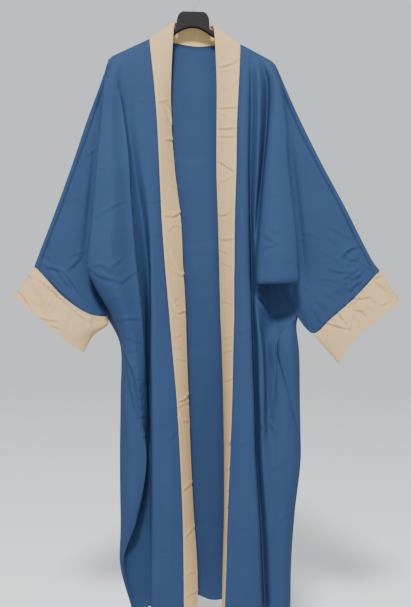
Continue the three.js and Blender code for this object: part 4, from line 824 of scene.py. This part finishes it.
# %% creases on the right-hand side
RIGHT_CREASES = [
    # Right hanging fold
    (3.6, 2.9, [(172, -609), (185, -624), (198, -634), (218, -641)]),
    (3.6, 2.9, [(168, -659), (178, -650), (192, -644), (212, -638)]),
    (3.6, 1.3, [(190, -604), (205, -608), (225, -604)]),
    (3.6, 1.4, [(162, -714), (175, -709)]),
    (3.6, 1.4, [(158, -586), (170, -579)]),
    (4.5, 1.1, [(185, -521), (212, -514)]),
    (4.5, 1.1, [(225, -686), (245, -679)]),
    # Right sleeve, crumpled near its cuff
    (3.6, 1.7, [(265, -616), (288, -616), (309, -621)]),
    (3.6, 1.1, [(258, -626), (282, -631)]),
    (4.0, 2.3, [(334, -594), (365, -612), (402, -631)]),
    (3.6, 2.2, [(334, -619), (348, -631), (359, -646)]),
    (3.6, 3.7, [(365, -676), (380, -659), (396, -650), (418, -644)]),
    (3.6, 3.4, [(368, -661), (380, -671), (390, -681), (412, -675)]),
    (3.6, 3.1, [(334, -700), (350, -706), (370, -710), (398, -709)]),
    (3.6, 3.7, [(370, -719), (395, -726), (410, -719), (425, -704)]),
    (3.6, 4.0, [(365, -741), (380, -751), (390, -754), (405, -739), (422, -731)]),
    (3.6, 3.1, [(395, -724), (405, -734), (410, -746)]),
    (3.6, 2.8, [(388, -731), (395, -759)]),
    (3.6, 2.3, [(309, -725), (332, -729), (360, -732)]),
    (4.0, 2.5, [(342, -761), (360, -756), (378, -766)]),
    (4.0, 2.9, [(299, -796), (308, -814), (315, -831), (328, -844)]),
    (3.6, 1.9, [(328, -794), (330, -809), (335, -821)]),
    (3.6, 2.3, [(420, -686), (438, -701), (452, -706)]),
    (3.6, 2.2, [(378, -696), (388, -689), (405, -694)]),
    (4.5, 1.4, [(320, -661), (342, -671)]),
    (4.5, 1.4, [(275, -744), (292, -761)]),
    (3.6, 1.8, [(348, -669), (365, -689), (380, -706)]),
    (3.6, 1.6, [(362, -654), (395, -676), (420, -686)]),
    (3.6, 2.4, [(375, -724), (392, -714), (408, -704), (425, -699)]),
    (3.6, 2.6, [(390, -709), (408, -721), (422, -726)]),
    (3.6, 2.2, [(362, -729), (380, -739), (398, -731)]),
    (3.6, 1.6, [(308, -731), (340, -741), (362, -754)]),
    (3.6, 1.6, [(318, -756), (360, -781)]),
    (4, 2, [(300, -779), (325, -794), (345, -804)]),
    (3.6, 3.2, [(158, -754), (168, -791), (185, -824), (205, -809)]),
    (3.6, 2.4, [(170, -771), (185, -796)]),
    # Puckers along the right side seam
    (3.6, 1.7, [(238, -959), (252, -956)]),
    (3.6, 1.4, [(242, -986), (260, -989)]),
    (3.6, 1.8, [(245, -1009), (265, -1006)]),
    (3.6, 1.3, [(252, -1036), (268, -1034)]),
    (3.6, 1.6, [(250, -1064), (270, -1069)]),
    (3.6, 1.4, [(258, -1094), (272, -1091)]),
    # Right front, lower down
    (4, 2.8, [(220, -846), (240, -936), (260, -1026), (270, -1111)]),
    (12, -6, [(208, -836), (205, -944), (195, -1061)]),
    (3.6, 3.7, [(155, -781), (170, -796), (180, -814), (192, -826)]),
    (3.6, 2.9, [(160, -759), (175, -774)]),
    (5.4, 1.4, [(228, -856), (232, -894), (240, -931)]),
    (4.5, 2.2, [(185, -1081), (200, -1101), (190, -1121)]),
    (3.6, 1.9, [(170, -1091), (180, -1109)]),
    (4.5, 1.1, [(105, -1356), (122, -1351), (145, -1350)]),
    (4.5, 1.1, [(110, -1146), (132, -1134)]),
    (4.5, 1.3, [(190, -1206), (218, -1191)]),
    (5.4, 1.3, [(208, -1331), (238, -1311)]),
    (4.5, 1.1, [(112, -856), (130, -866)]),
]
press_all("front_right", RIGHT_CREASES)
# The edges of the hanging fold and of the narrow pleat.
press("front_right", 6, 5, [(266, -745), (261, -690), (251, -590), (237, -465), (227, -345),
  (214, -225)], trough=0.9)
press("front_right", 8, 4, [(160, -826), (166, -931), (169, -1031), (170, -1131)], trough=0)

# %% creases in the bands and cuffs
LEFT_BAND_CREASES = [
    (3.0, 2.1, [(-95, -256), (-75, -284), (-55, -306)]),
    (3.0, 3.1, [(-85, -262), (-66, -296), (-54, -344)]),
    (3.0, 2.9, [(-89, -291), (-70, -325), (-50, -349)]),
    (3.0, 1.5, [(-92, -284), (-65, -282)]),
    (3.0, 1.5, [(-82, -321), (-68, -341)]),
    (3.0, 2.9, [(-75, -380), (-60, -379), (-45, -380)]),
    (3.0, 1.3, [(-78, -406), (-62, -426), (-45, -439)]),
    (3.0, 1.7, [(-58, -491), (-38, -501)]),
    (3.0, 3.1, [(-78, -568), (-54, -571), (-40, -564), (-28, -551)]),
    (3.0, 1.7, [(-70, -614), (-54, -594), (-28, -596)]),
    (3.0, 3.1, [(-60, -656), (-50, -681), (-40, -701), (-25, -719)]),
    (3.0, 2.6, [(-58, -704), (-32, -719), (-18, -706)]),
    (3.0, 1.5, [(-55, -661), (-32, -699)]),
    (3.0, 2.9, [(-60, -799), (-41, -812), (-18, -805)]),
    (3.0, 2.6, [(-63, -766), (-45, -799), (-22, -826)]),
    (3.0, 2.0, [(-58, -826), (-40, -818), (-18, -836)]),
    (3.0, 1.3, [(-55, -781), (-38, -774)]),
    (3.0, 1.5, [(-50, -874), (-32, -866)]),
    (3.0, 2.1, [(-48, -894), (-34, -904)]),
    (3.0, 2.6, [(-45, -924), (-32, -929), (-19, -935)]),
    (3.0, 3.1, [(-42, -1035), (-25, -1028), (-12, -1011)]),
    (3.0, 2.1, [(-40, -1049), (-25, -1038), (-12, -1034)]),
    (3.0, 3.1, [(-39, -1061), (-29, -1078), (-10, -1085)]),
    (3.0, 2.3, [(-35, -1091), (-22, -1078), (-10, -1101)]),
    (3.0, 2.9, [(-30, -1258), (-16, -1244), (-2, -1232)]),
    (3.0, 2.6, [(-25, -1376), (-10, -1356), (4, -1342)]),
    (3.0, 2.3, [(-22, -1469), (-8, -1459), (10, -1464)]),
    (3.0, 2.3, [(-22, -1521), (-4, -1512), (12, -1505)]),
]
RIGHT_BAND_CREASES = [
    (3.0, 3.8, [(58, -199), (75, -195), (92, -190), (112, -175)]),
    (3.0, 1.5, [(60, -211), (80, -206), (100, -196)]),
    (3.0, 2.3, [(98, -246), (112, -224)]),
    (3.0, 1.5, [(68, -256), (85, -248)]),
    (3.0, 2.9, [(58, -301), (82, -299), (110, -296)]),
    (3.0, 1.3, [(68, -316), (88, -319), (82, -331)]),
    (3.0, 3.2, [(58, -351), (82, -351), (110, -349)]),
    (3.0, 2.3, [(58, -371), (82, -371), (110, -370)]),
    (3.0, 3.1, [(59, -430), (80, -444), (104, -460)]),
    (3.0, 1.5, [(65, -426), (88, -439), (100, -456)]),
    (3.0, 2.1, [(62, -488), (88, -476), (102, -464)]),
    (3.0, 3.1, [(61, -569), (80, -566), (104, -549)]),
    (3.0, 2.9, [(64, -628), (80, -629), (102, -625)]),
    (3.0, 1.5, [(65, -654), (82, -662), (102, -651)]),
    (3.0, 1.3, [(68, -686), (100, -699)]),
    (3.0, 1.1, [(70, -781), (98, -791)]),
    (3.0, 1.7, [(72, -876), (98, -869)]),
    (3.0, 2.1, [(75, -912), (96, -902)]),
    (3.0, 2.3, [(75, -985), (98, -974)]),
    (3.0, 2.6, [(76, -1124), (87, -1128), (94, -1151)]),
    (3.0, 1.5, [(78, -1145), (90, -1138)]),
    (3.0, 2.6, [(78, -1192), (91, -1208)]),
    (3.0, 1.5, [(78, -1262), (90, -1256)]),
    (3.0, 2.3, [(76, -1296), (89, -1304)]),
]
press_all("neckband_left", LEFT_BAND_CREASES)
press_all("neckband_right", RIGHT_BAND_CREASES)

LEFT_CUFF_CREASES = [                             # two broad facets, then the sharp lines
    (9, 4.2, [(-415, -706), (-385, -756), (-365, -796)]),
    (9, -3.4, [(-430, -781), (-395, -796), (-370, -811)]),
    (3, 5.9, [(-395, -724), (-360, -751), (-335, -774), (-305, -799)]),
    (3, 4.6, [(-440, -751), (-418, -781), (-400, -809)]),
    (3, 4.2, [(-308, -794), (-315, -826), (-328, -859)]),
    (3, 2.9, [(-358, -781), (-375, -814)]),
    (3, 2.9, [(-342, -779), (-355, -801), (-362, -821)]),
    (3.6, 3.4, [(-392, -821), (-365, -829), (-332, -831)]),
    (3, 2.9, [(-362, -841), (-332, -851)]),
    (3, 2.9, [(-418, -716), (-392, -726)]),
    (3.6, 4.6, [(-310, -796), (-285, -819), (-252, -836)]),
    (3, 3.4, [(-275, -809), (-260, -826), (-265, -856)]),
]
RIGHT_CUFF_CREASES = [                            # three broad facets, then the sharp lines
    (9, -4.2, [(422, -739), (440, -761)]),
    (9, 4.2, [(405, -789), (435, -796), (450, -806)]),
    (8, 4.2, [(375, -836), (350, -849)]),
    (3, 4.6, [(412, -721), (435, -726), (450, -726), (468, -719), (485, -719)]),
    (3, 5.5, [(445, -729), (470, -746), (490, -761), (510, -776)]),
    (2.8, 2.9, [(450, -726), (458, -714), (462, -699)]),
    (2.8, 4.2, [(415, -729), (422, -754), (432, -776)]),
    (3, 5.5, [(375, -769), (395, -774), (410, -776), (430, -774), (442, -771), (460, -794)]),
    (2.8, 5.9, [(412, -774), (402, -791), (395, -806)]),
    (3, 5.5, [(395, -804), (420, -806), (435, -826)]),
    (2.8, 3.8, [(398, -801), (405, -819), (412, -841)]),
    (3, 4.6, [(350, -799), (372, -826), (392, -856)]),
    (2.8, 4.2, [(315, -826), (340, -826), (360, -831)]),
    (3, 5.0, [(310, -831), (350, -841), (390, -854)]),
    (3, 4.2, [(398, -804), (392, -831), (388, -861)]),
    (2.8, 3.4, [(398, -741), (408, -774)]),
    (2.8, 3.6, [(370, -789), (395, -799)]),
    (2.8, 2.9, [(458, -796), (475, -789), (492, -781)]),
]
press_all("cuff_left", LEFT_CUFF_CREASES)
press_all("cuff_right", RIGHT_CUFF_CREASES)

# %% [markdown]
# The back carries the same kinds of creases: drag lines down from the shoulder tips, soft
# upright folds that run to the hem, and a few flat marks left by folding. The ones between
# the bands show from the front too, on the inside of the cloth.

# %% creases on the back
BACK_CREASES = [
    # Drag lines from the shoulders
    (12, 2.0, [(-190, -262), (-156, -370), (-96, -462)]),
    (11, 1.4, [(-176, -300), (-128, -352), (-60, -380)]),
    (12, 1.8, [(188, -272), (146, -396), (84, -476)]),
    (10, 1.2, [(166, -296), (112, -344), (58, -362)]),
    # Upright folds
    (18, 3.0, [(-42, -500), (-47, -900), (-32, -1420)]),
    (16, -2.4, [(48, -450), (60, -950), (65, -1500)]),
    (14, 2.6, [(108, -700), (118, -1100), (112, -1520)]),
    (15, -2.0, [(-94, -760), (-101, -1150), (-96, -1520)]),
    # Marks left by folding
    (8, 0.9, [(-48, -419), (2, -425), (40, -419)]),
    (10, 1.2, [(-130, -622), (-24, -641), (92, -626)]),
    (9, 0.9, [(-30, -742), (14, -756), (60, -748)]),
    (11, 1.4, [(-152, -882), (-62, -906), (30, -893)]),
    (8, 0.9, [(-16, -1044), (20, -1094)]),
    (10, 1.3, [(62, -1012), (148, -1041), (228, -1022)]),
    (10, 1.2, [(-162, -1182), (-88, -1216)]),
    (11, 1.1, [(-42, -1332), (58, -1352), (128, -1337)]),
    # Backs of the sleeves
    (10, 1.6, [(-362, -642), (-300, -702), (-246, -716)]),
    (9, 1.4, [(-344, -706), (-300, -762)]),
    (9, 1.0, [(-300, -520), (-262, -560)]),
    (10, 1.6, [(402, -662), (342, -722), (290, -742)]),
    (9, 1.5, [(430, -704), (372, -742)]),
    (9, 1.1, [(300, -562), (352, -541)]),
]
LEFT_CUFF_BACK = [
    (4, 1.4, [(-402, -768), (-386, -812)]),
    (4, 1.5, [(-344, -842), (-318, -832), (-300, -858)]),
    (4, 1.1, [(-286, -874), (-268, -850)]),
]
RIGHT_CUFF_BACK = [
    (4, 1.5, [(430, -800), (441, -832), (432, -856)]),
    (4, 1.6, [(470, -762), (486, -790)]),
    (4, 1.2, [(380, -858), (402, -872)]),
]
press_all("back", BACK_CREASES, behind=True)
press_all("cuff_left", LEFT_CUFF_BACK, behind=True)
press_all("cuff_right", RIGHT_CUFF_BACK, behind=True)

# %% [markdown]
# ## From the skin to cloth
# Each piece becomes a closed shell of its own thickness. Its outer wall is the skin, its
# inner wall lies behind it, and a rim joins them round every edge. At a sharp fold the
# inner wall is set further back, as a mitre, so that the cloth keeps its thickness there.
# Sewn edges are drawn in by a hair, so that two pieces never share a face. The inner wall
# needs only every second level, and it is set back from the smooth skin. In the doubled
# pieces only the troughs reach it. Where the cloth bends tightly there is little room on the
# inside of the bend, so creases and walls are held back there to a share of that room. This
# makes the cloth cross itself in fewer places, but some are left at the tightest folds.

# %% walls
CLOTH = dict(thick=1.2, proud=0.0, creased_inside=True)
DOUBLED = dict(thick=2.6, proud=0.5, creased_inside=False)
HAIR = 0.1
LONGEST_MITRE = 1.6
THINNEST = 0.3                                    # no wall is thinner than this
BEND_SHARE = 0.7                                  # of the room that a bend leaves
FLATTEST, OPEN_ROOM = 0.014, 50.0                 # gentler bends than this leave open room


def mitres():
    """How much further back the inner wall lies at every point, 1 where the cloth is flat."""
    square = face_ways(points[faces])
    sharpest = np.ones(len(points))
    for k in range(4):
        np.minimum.at(sharpest, faces[:, k], np.sum(square * out[faces[:, k]], axis=1))
    return 1 / np.maximum(sharpest, 1 / LONGEST_MITRE)


def room():
    """How far every point can move inwards and outwards before its cloth folds over itself."""
    inwards, outwards = np.full(len(points), OPEN_ROOM), np.full(len(points), OPEN_ROOM)
    for k in range(4):
        a, b = faces[:, k], faces[:, (k + 1) % 4]
        edge = points[b] - points[a]
        length = np.linalg.norm(edge, axis=1)
        bend = np.sum((out[b] - out[a]) * edge, axis=1) / np.maximum(length, 0.05) ** 2
        for ends in (a, b):
            np.minimum.at(inwards, ends, BEND_SHARE / np.maximum(bend, FLATTEST))
            np.minimum.at(outwards, ends, BEND_SHARE / np.maximum(-bend, FLATTEST))
    return inwards, outwards


mitre = mitres()
room_in, room_out = room()
held = np.clip(lift, -room_in, room_out)
print("creases held back at", int((held != lift).sum()), "points of", len(points))
lift = held
beside_seam = from_seam < SEAM_WIDTH
smooth_skin, smooth_out = points, out
points = smooth_skin + smooth_out * lift[:, None]
out = facings(points, faces)


def edges_of(quads):
    """The open edges of a set of faces, each with a point on its inner side."""
    found = {}
    for q in quads.tolist():
        ring = [v for k, v in enumerate(q) if v != q[k - 1]]
        for k, a in enumerate(ring):
            b = ring[(k + 1) % len(ring)]
            if found.pop((b, a), None) is None:
                found[(a, b)] = ring[(k + 2) % len(ring)]
    return found


def plainer(panel):
    """Every point's place on the inner wall: on every second row, except round the edges."""
    goes = np.arange(len(points))
    for p in patches_of(panel):
        ids = p["ids"]
        level = np.arange(len(ids)) // 2 * 2
        goes[ids[1:-1, 1:-1]] = ids[level][1:-1, 1:-1]
    return goes


def wall(panel, cloth):
    """Vertices (in metres) and faces of one piece's closed shell, and its points on each wall."""
    quads = faces[owner == panel]
    used = members[panel]
    number = np.full(len(points), -1)
    number[used] = np.arange(len(used))
    edges = edges_of(quads)
    inward = np.zeros_like(points)
    for (a, b), c in edges.items():
        if beside_seam[a] and beside_seam[b]:
            line = points[b] - points[a]
            line /= max(np.linalg.norm(line), 1e-9)
            way = points[c] - points[a]
            way -= line * (way @ line)
            way /= max(np.linalg.norm(way), 1e-9)
            inward[a] += way
            inward[b] += way
    size = np.linalg.norm(inward[used], axis=1, keepdims=True)
    drawn = np.where(size > 1e-6, inward[used] / np.maximum(size, 1e-9), 0) * HAIR
    front = points[used] + drawn + out[used] * cloth["proud"]
    depth = lift[used] if cloth["creased_inside"] else np.minimum(lift[used], 0)
    depth = np.maximum(depth + (cloth["proud"] - cloth["thick"]) * mitre[used], -room_in[used])
    depth = np.minimum(depth, lift[used] - THINNEST)
    rear = smooth_skin[used] + drawn + smooth_out[used] * depth[:, None]
    goes = plainer(panel)
    kept = np.unique(goes[used])
    both = np.concatenate([front, rear[number[kept]]]) * 0.001
    behind = np.full(len(points), -1)
    behind[kept] = len(used) + np.arange(len(kept))
    made = []
    for q, r in zip(number[quads].tolist(), behind[goes[quads]].tolist()):
        made.append([v for k, v in enumerate(q) if v != q[k - 1]])
        ring = [v for k, v in enumerate(r) if v != r[k - 1]]
        if len(ring) > 2:
            made.append(ring[::-1])
    for a, b in edges:
        made.append([int(number[b]), int(number[a]), int(behind[a]), int(behind[b])])
    return both, made, np.concatenate([used, kept])


def lengths_on(panel):
    """How far across and down each point of a piece lies, for its own UV map."""
    found = {}
    for p in patches_of(panel):
        grid = p["grid"] * 0.001
        right = np.linalg.norm(np.diff(grid, axis=1), axis=2).mean(axis=0)
        down = np.linalg.norm(np.diff(grid, axis=0), axis=2).mean(axis=1)
        u = np.concatenate([[0], np.cumsum(right)])
        v = np.concatenate([[0], np.cumsum(down)])
        uv = np.stack(np.meshgrid(u, v), axis=-1).reshape(-1, 2)
        found.update(zip(p["ids"].ravel().tolist(), uv.tolist()))
    return found


def cloth_piece(name, panel, cloth, material):
    vertices, made, which = wall(panel, cloth)
    mesh = bpy.data.meshes.new(name)
    mesh.from_pydata(vertices.tolist(), [], made)
    mesh.update()
    where = lengths_on(panel)
    per_vertex = np.array([where[i] for i in which.tolist()])
    layer = mesh.uv_layers.new(name="cloth")
    corner_vertex = np.empty(len(mesh.loops), np.int32)
    mesh.loops.foreach_get("vertex_index", corner_vertex)
    layer.data.foreach_set("uv", per_vertex[corner_vertex].ravel())
    mesh.materials.append(material)
    mesh.shade_smooth()
    mesh.set_sharp_from_angle(angle=math.radians(62))
    piece = bpy.data.objects.new(name, mesh)
    bpy.context.collection.objects.link(piece)
    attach(piece, "root")
    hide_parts(panel)
    print(name, len(mesh.vertices), "points,", len(mesh.polygons), "faces")
    return piece


# %% [markdown]
# ## The cloth's finish
# The robe is a smooth matt crepe. Seen close, its surface is a fine pebbled grain, and
# light from the side catches a faint sheen on it. Both cloths are the same weave in two
# colours, so one helper makes both: two nearly equal tones, a small grain, and a slow
# unevenness left by folding.

# %% crepe
def colour(red, green, blue):
    """A display colour, 0 to 255, as the linear colour that a shader takes."""
    levels = (red / 255, green / 255, blue / 255)
    return tuple(c / 12.92 if c <= 0.04045 else ((c + 0.055) / 1.055) ** 2.4 for c in levels) + (1.0,)


def crepe(name, light, dark, roughness, sheen, rumple):
    material = bpy.data.materials.new(name)
    material.use_nodes = True
    nodes, links = material.node_tree.nodes, material.node_tree.links
    surface = nodes["Principled BSDF"]
    surface.inputs["Roughness"].default_value = roughness
    surface.inputs["Specular IOR Level"].default_value = 0.12
    surface.inputs["Sheen Weight"].default_value = sheen
    surface.inputs["Sheen Roughness"].default_value = 0.45
    surface.inputs["Sheen Tint"].default_value = light
    where = nodes.new("ShaderNodeTexCoord")

    def noise(scale, detail):
        node = nodes.new("ShaderNodeTexNoise")
        node.inputs["Scale"].default_value = scale
        node.inputs["Detail"].default_value = detail
        links.new(where.outputs["Object"], node.inputs["Vector"])
        return node

    slow, grain, folds = noise(9, 3), noise(1100, 2), noise(42, 5)
    tone = nodes.new("ShaderNodeMix")
    tone.data_type = "RGBA"
    tone.inputs[6].default_value = dark
    tone.inputs[7].default_value = light
    links.new(slow.outputs["Fac"], tone.inputs[0])
    links.new(tone.outputs[2], surface.inputs["Base Color"])
    soft = nodes.new("ShaderNodeBump")
    soft.inputs["Strength"].default_value = rumple
    soft.inputs["Distance"].default_value = 0.0012
    links.new(folds.outputs["Fac"], soft.inputs["Height"])
    fine = nodes.new("ShaderNodeBump")
    fine.inputs["Strength"].default_value = 0.25
    fine.inputs["Distance"].default_value = 0.0003
    links.new(grain.outputs["Fac"], fine.inputs["Height"])
    links.new(soft.outputs["Normal"], fine.inputs["Normal"])
    links.new(fine.outputs["Normal"], surface.inputs["Normal"])
    return material


blue_crepe = crepe("blue_crepe", colour(39, 58, 89), colour(35, 53, 82), 0.78, 0.08, 0.35)
cream_crepe = crepe("cream_crepe", colour(184, 156, 114), colour(176, 147, 106), 0.85, 0.05, 0.5)
print("cloth finishes made")

# %% [markdown]
# ## The cloth pieces
# Every cut piece is made into its own closed shell, with a UV map and its crepe finish.

# %% the cloth pieces
cloth_piece("robe_back", "back", CLOTH, blue_crepe)
cloth_piece("robe_front_left", "front_left", CLOTH, blue_crepe)
cloth_piece("robe_front_right", "front_right", CLOTH, blue_crepe)
cloth_piece("band_left", "neckband_left", DOUBLED, cream_crepe)
cloth_piece("band_right", "neckband_right", DOUBLED, cream_crepe)
cloth_piece("sleeve_cuff_left", "cuff_left", DOUBLED, cream_crepe)
cloth_piece("sleeve_cuff_right", "cuff_right", DOUBLED, cream_crepe)

# %% [markdown]
# ## The hanger
# The hanger is one moulding of black plastic, with a soft radius on its edges and a round
# mark on each shoulder of its head, and a bent wire hook. The solids already have the
# right outline, so a copy of each is cleaned and finished instead of being drawn again.

# %% plastic and wire
def plain(name, base, roughness, metallic=0.0):
    material = bpy.data.materials.new(name)
    material.use_nodes = True
    surface = material.node_tree.nodes["Principled BSDF"]
    surface.inputs["Base Color"].default_value = base
    surface.inputs["Roughness"].default_value = roughness
    surface.inputs["Metallic"].default_value = metallic
    return material


black_plastic = plain("black_plastic", colour(11, 11, 12), 0.6)
black_plastic.node_tree.nodes["Principled BSDF"].inputs["Specular IOR Level"].default_value = 0.15
bright_wire = plain("bright_wire", colour(196, 198, 203), 0.22, 1.0)


def alone(piece):
    bpy.ops.object.select_all(action="DESELECT")
    piece.select_set(True)
    bpy.context.view_layer.objects.active = piece


def copy_of(node, name, material):
    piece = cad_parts[node].copy()
    piece.data = piece.data.copy()
    piece.name = name
    for key in [key for key in piece.keys() if key.startswith("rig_")]:
        del piece[key]
    piece.parent = None
    bpy.context.collection.objects.link(piece)
    alone(piece)
    bpy.ops.object.mode_set(mode="EDIT")
    bpy.ops.mesh.select_all(action="SELECT")
    bpy.ops.mesh.remove_doubles(threshold=0.00002)
    bpy.ops.mesh.dissolve_limited(angle_limit=math.radians(2))
    bpy.ops.object.mode_set(mode="OBJECT")
    piece.data.materials.clear()
    piece.data.materials.append(material)
    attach(piece, "root")
    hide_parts(node)
    return piece


hanger = copy_of("hanger_body", "hanger_arms", black_plastic)
soften = hanger.modifiers.new("soft edges", "BEVEL")
soften.width = 0.0012
soften.segments = 3
soften.limit_method = "ANGLE"
soften.angle_limit = math.radians(25)
bpy.ops.object.modifier_apply(modifier=soften.name)
bpy.ops.object.shade_smooth_by_angle(angle=math.radians(35))
MARK_ACROSS, MARK_HEIGHT, MARK_RADIUS, MARK_DEPTH = (-0.0299, 0.0261), -0.0841, 0.0021, 0.0008
for x in MARK_ACROSS:                             # the moulding's two round marks
    where = hanger.ray_cast(Vector((x, -0.2, MARK_HEIGHT)), Vector((0, 1, 0)))[1]
    print("round mark at", tuple(round(v, 4) for v in where))
    bpy.ops.mesh.primitive_cylinder_add(vertices=24, radius=MARK_RADIUS, depth=MARK_DEPTH, location=where,
                                        rotation=(math.radians(90), 0, 0))
    mark = bpy.context.object
    mark.data.materials.append(black_plastic)
    mark.select_set(True)
    hanger.select_set(True)
    bpy.context.view_layer.objects.active = hanger
    bpy.ops.object.join()
even = hanger.modifiers.new("even shading", "WEIGHTED_NORMAL")
even.keep_sharp = True
bpy.ops.object.modifier_apply(modifier=even.name)
hook = copy_of("hanger_hook", "wire_hook", bright_wire)
bpy.ops.object.shade_smooth_by_angle(angle=math.radians(50))
print("hanger", len(hanger.data.polygons), "faces, hook", len(hook.data.polygons), "faces")

# %% [markdown]
# ## Floor, light and camera
# A pale floor lies well below the hem, and a pale sky lights the robe evenly. A small strong
# lamp high in front, a little to the left, draws the folds, and a broad weak one on the right
# lifts their shadows. The camera stands 2 m in front at mid height, level, where the creases
# were placed from, and takes in the robe from the hanger's head to the hem.

# %% the stage
bpy.ops.object.select_all(action="DESELECT")
bpy.ops.mesh.primitive_plane_add(size=24, location=(0, 0, -1.78))
floor = bpy.context.object
floor.name = "floor"
floor.data.materials.append(plain("pale_floor", colour(242, 243, 245), 0.95))

sky = bpy.data.worlds.new("pale_sky")
bpy.context.scene.world = sky
sky.use_nodes = True
sky.node_tree.nodes["Background"].inputs["Color"].default_value = (0.95, 0.97, 1.0, 1.0)
sky.node_tree.nodes["Background"].inputs["Strength"].default_value = 0.82


def lamp(name, place_at, look_at, size, power):
    data = bpy.data.lights.new(name, "AREA")
    data.shape = "SQUARE"
    data.size = size
    data.energy = power
    made = bpy.data.objects.new(name, data)
    bpy.context.collection.objects.link(made)
    made.location = place_at
    way = Vector(look_at) - Vector(place_at)
    made.rotation_euler = way.to_track_quat("-Z", "Y").to_euler()
    return made


lamp("key", (-0.4, -3.7, 2.9), (0, 0, -0.75), 0.7, 480)
lamp("fill", (1.8, -2.6, -0.4), (0, 0, -0.8), 2.2, 6)

lens = bpy.data.cameras.new("camera")
lens.sensor_width = 36
lens.lens = 47.45
lens.shift_x = 0.0189
camera = bpy.data.objects.new("camera", lens)
bpy.context.collection.objects.link(camera)
camera.location = (0, -VIEW_FROM / 1000, EYE_HEIGHT / 1000)
camera.rotation_euler = (math.radians(90), 0, 0)
bpy.context.scene.camera = camera
print("stage set")
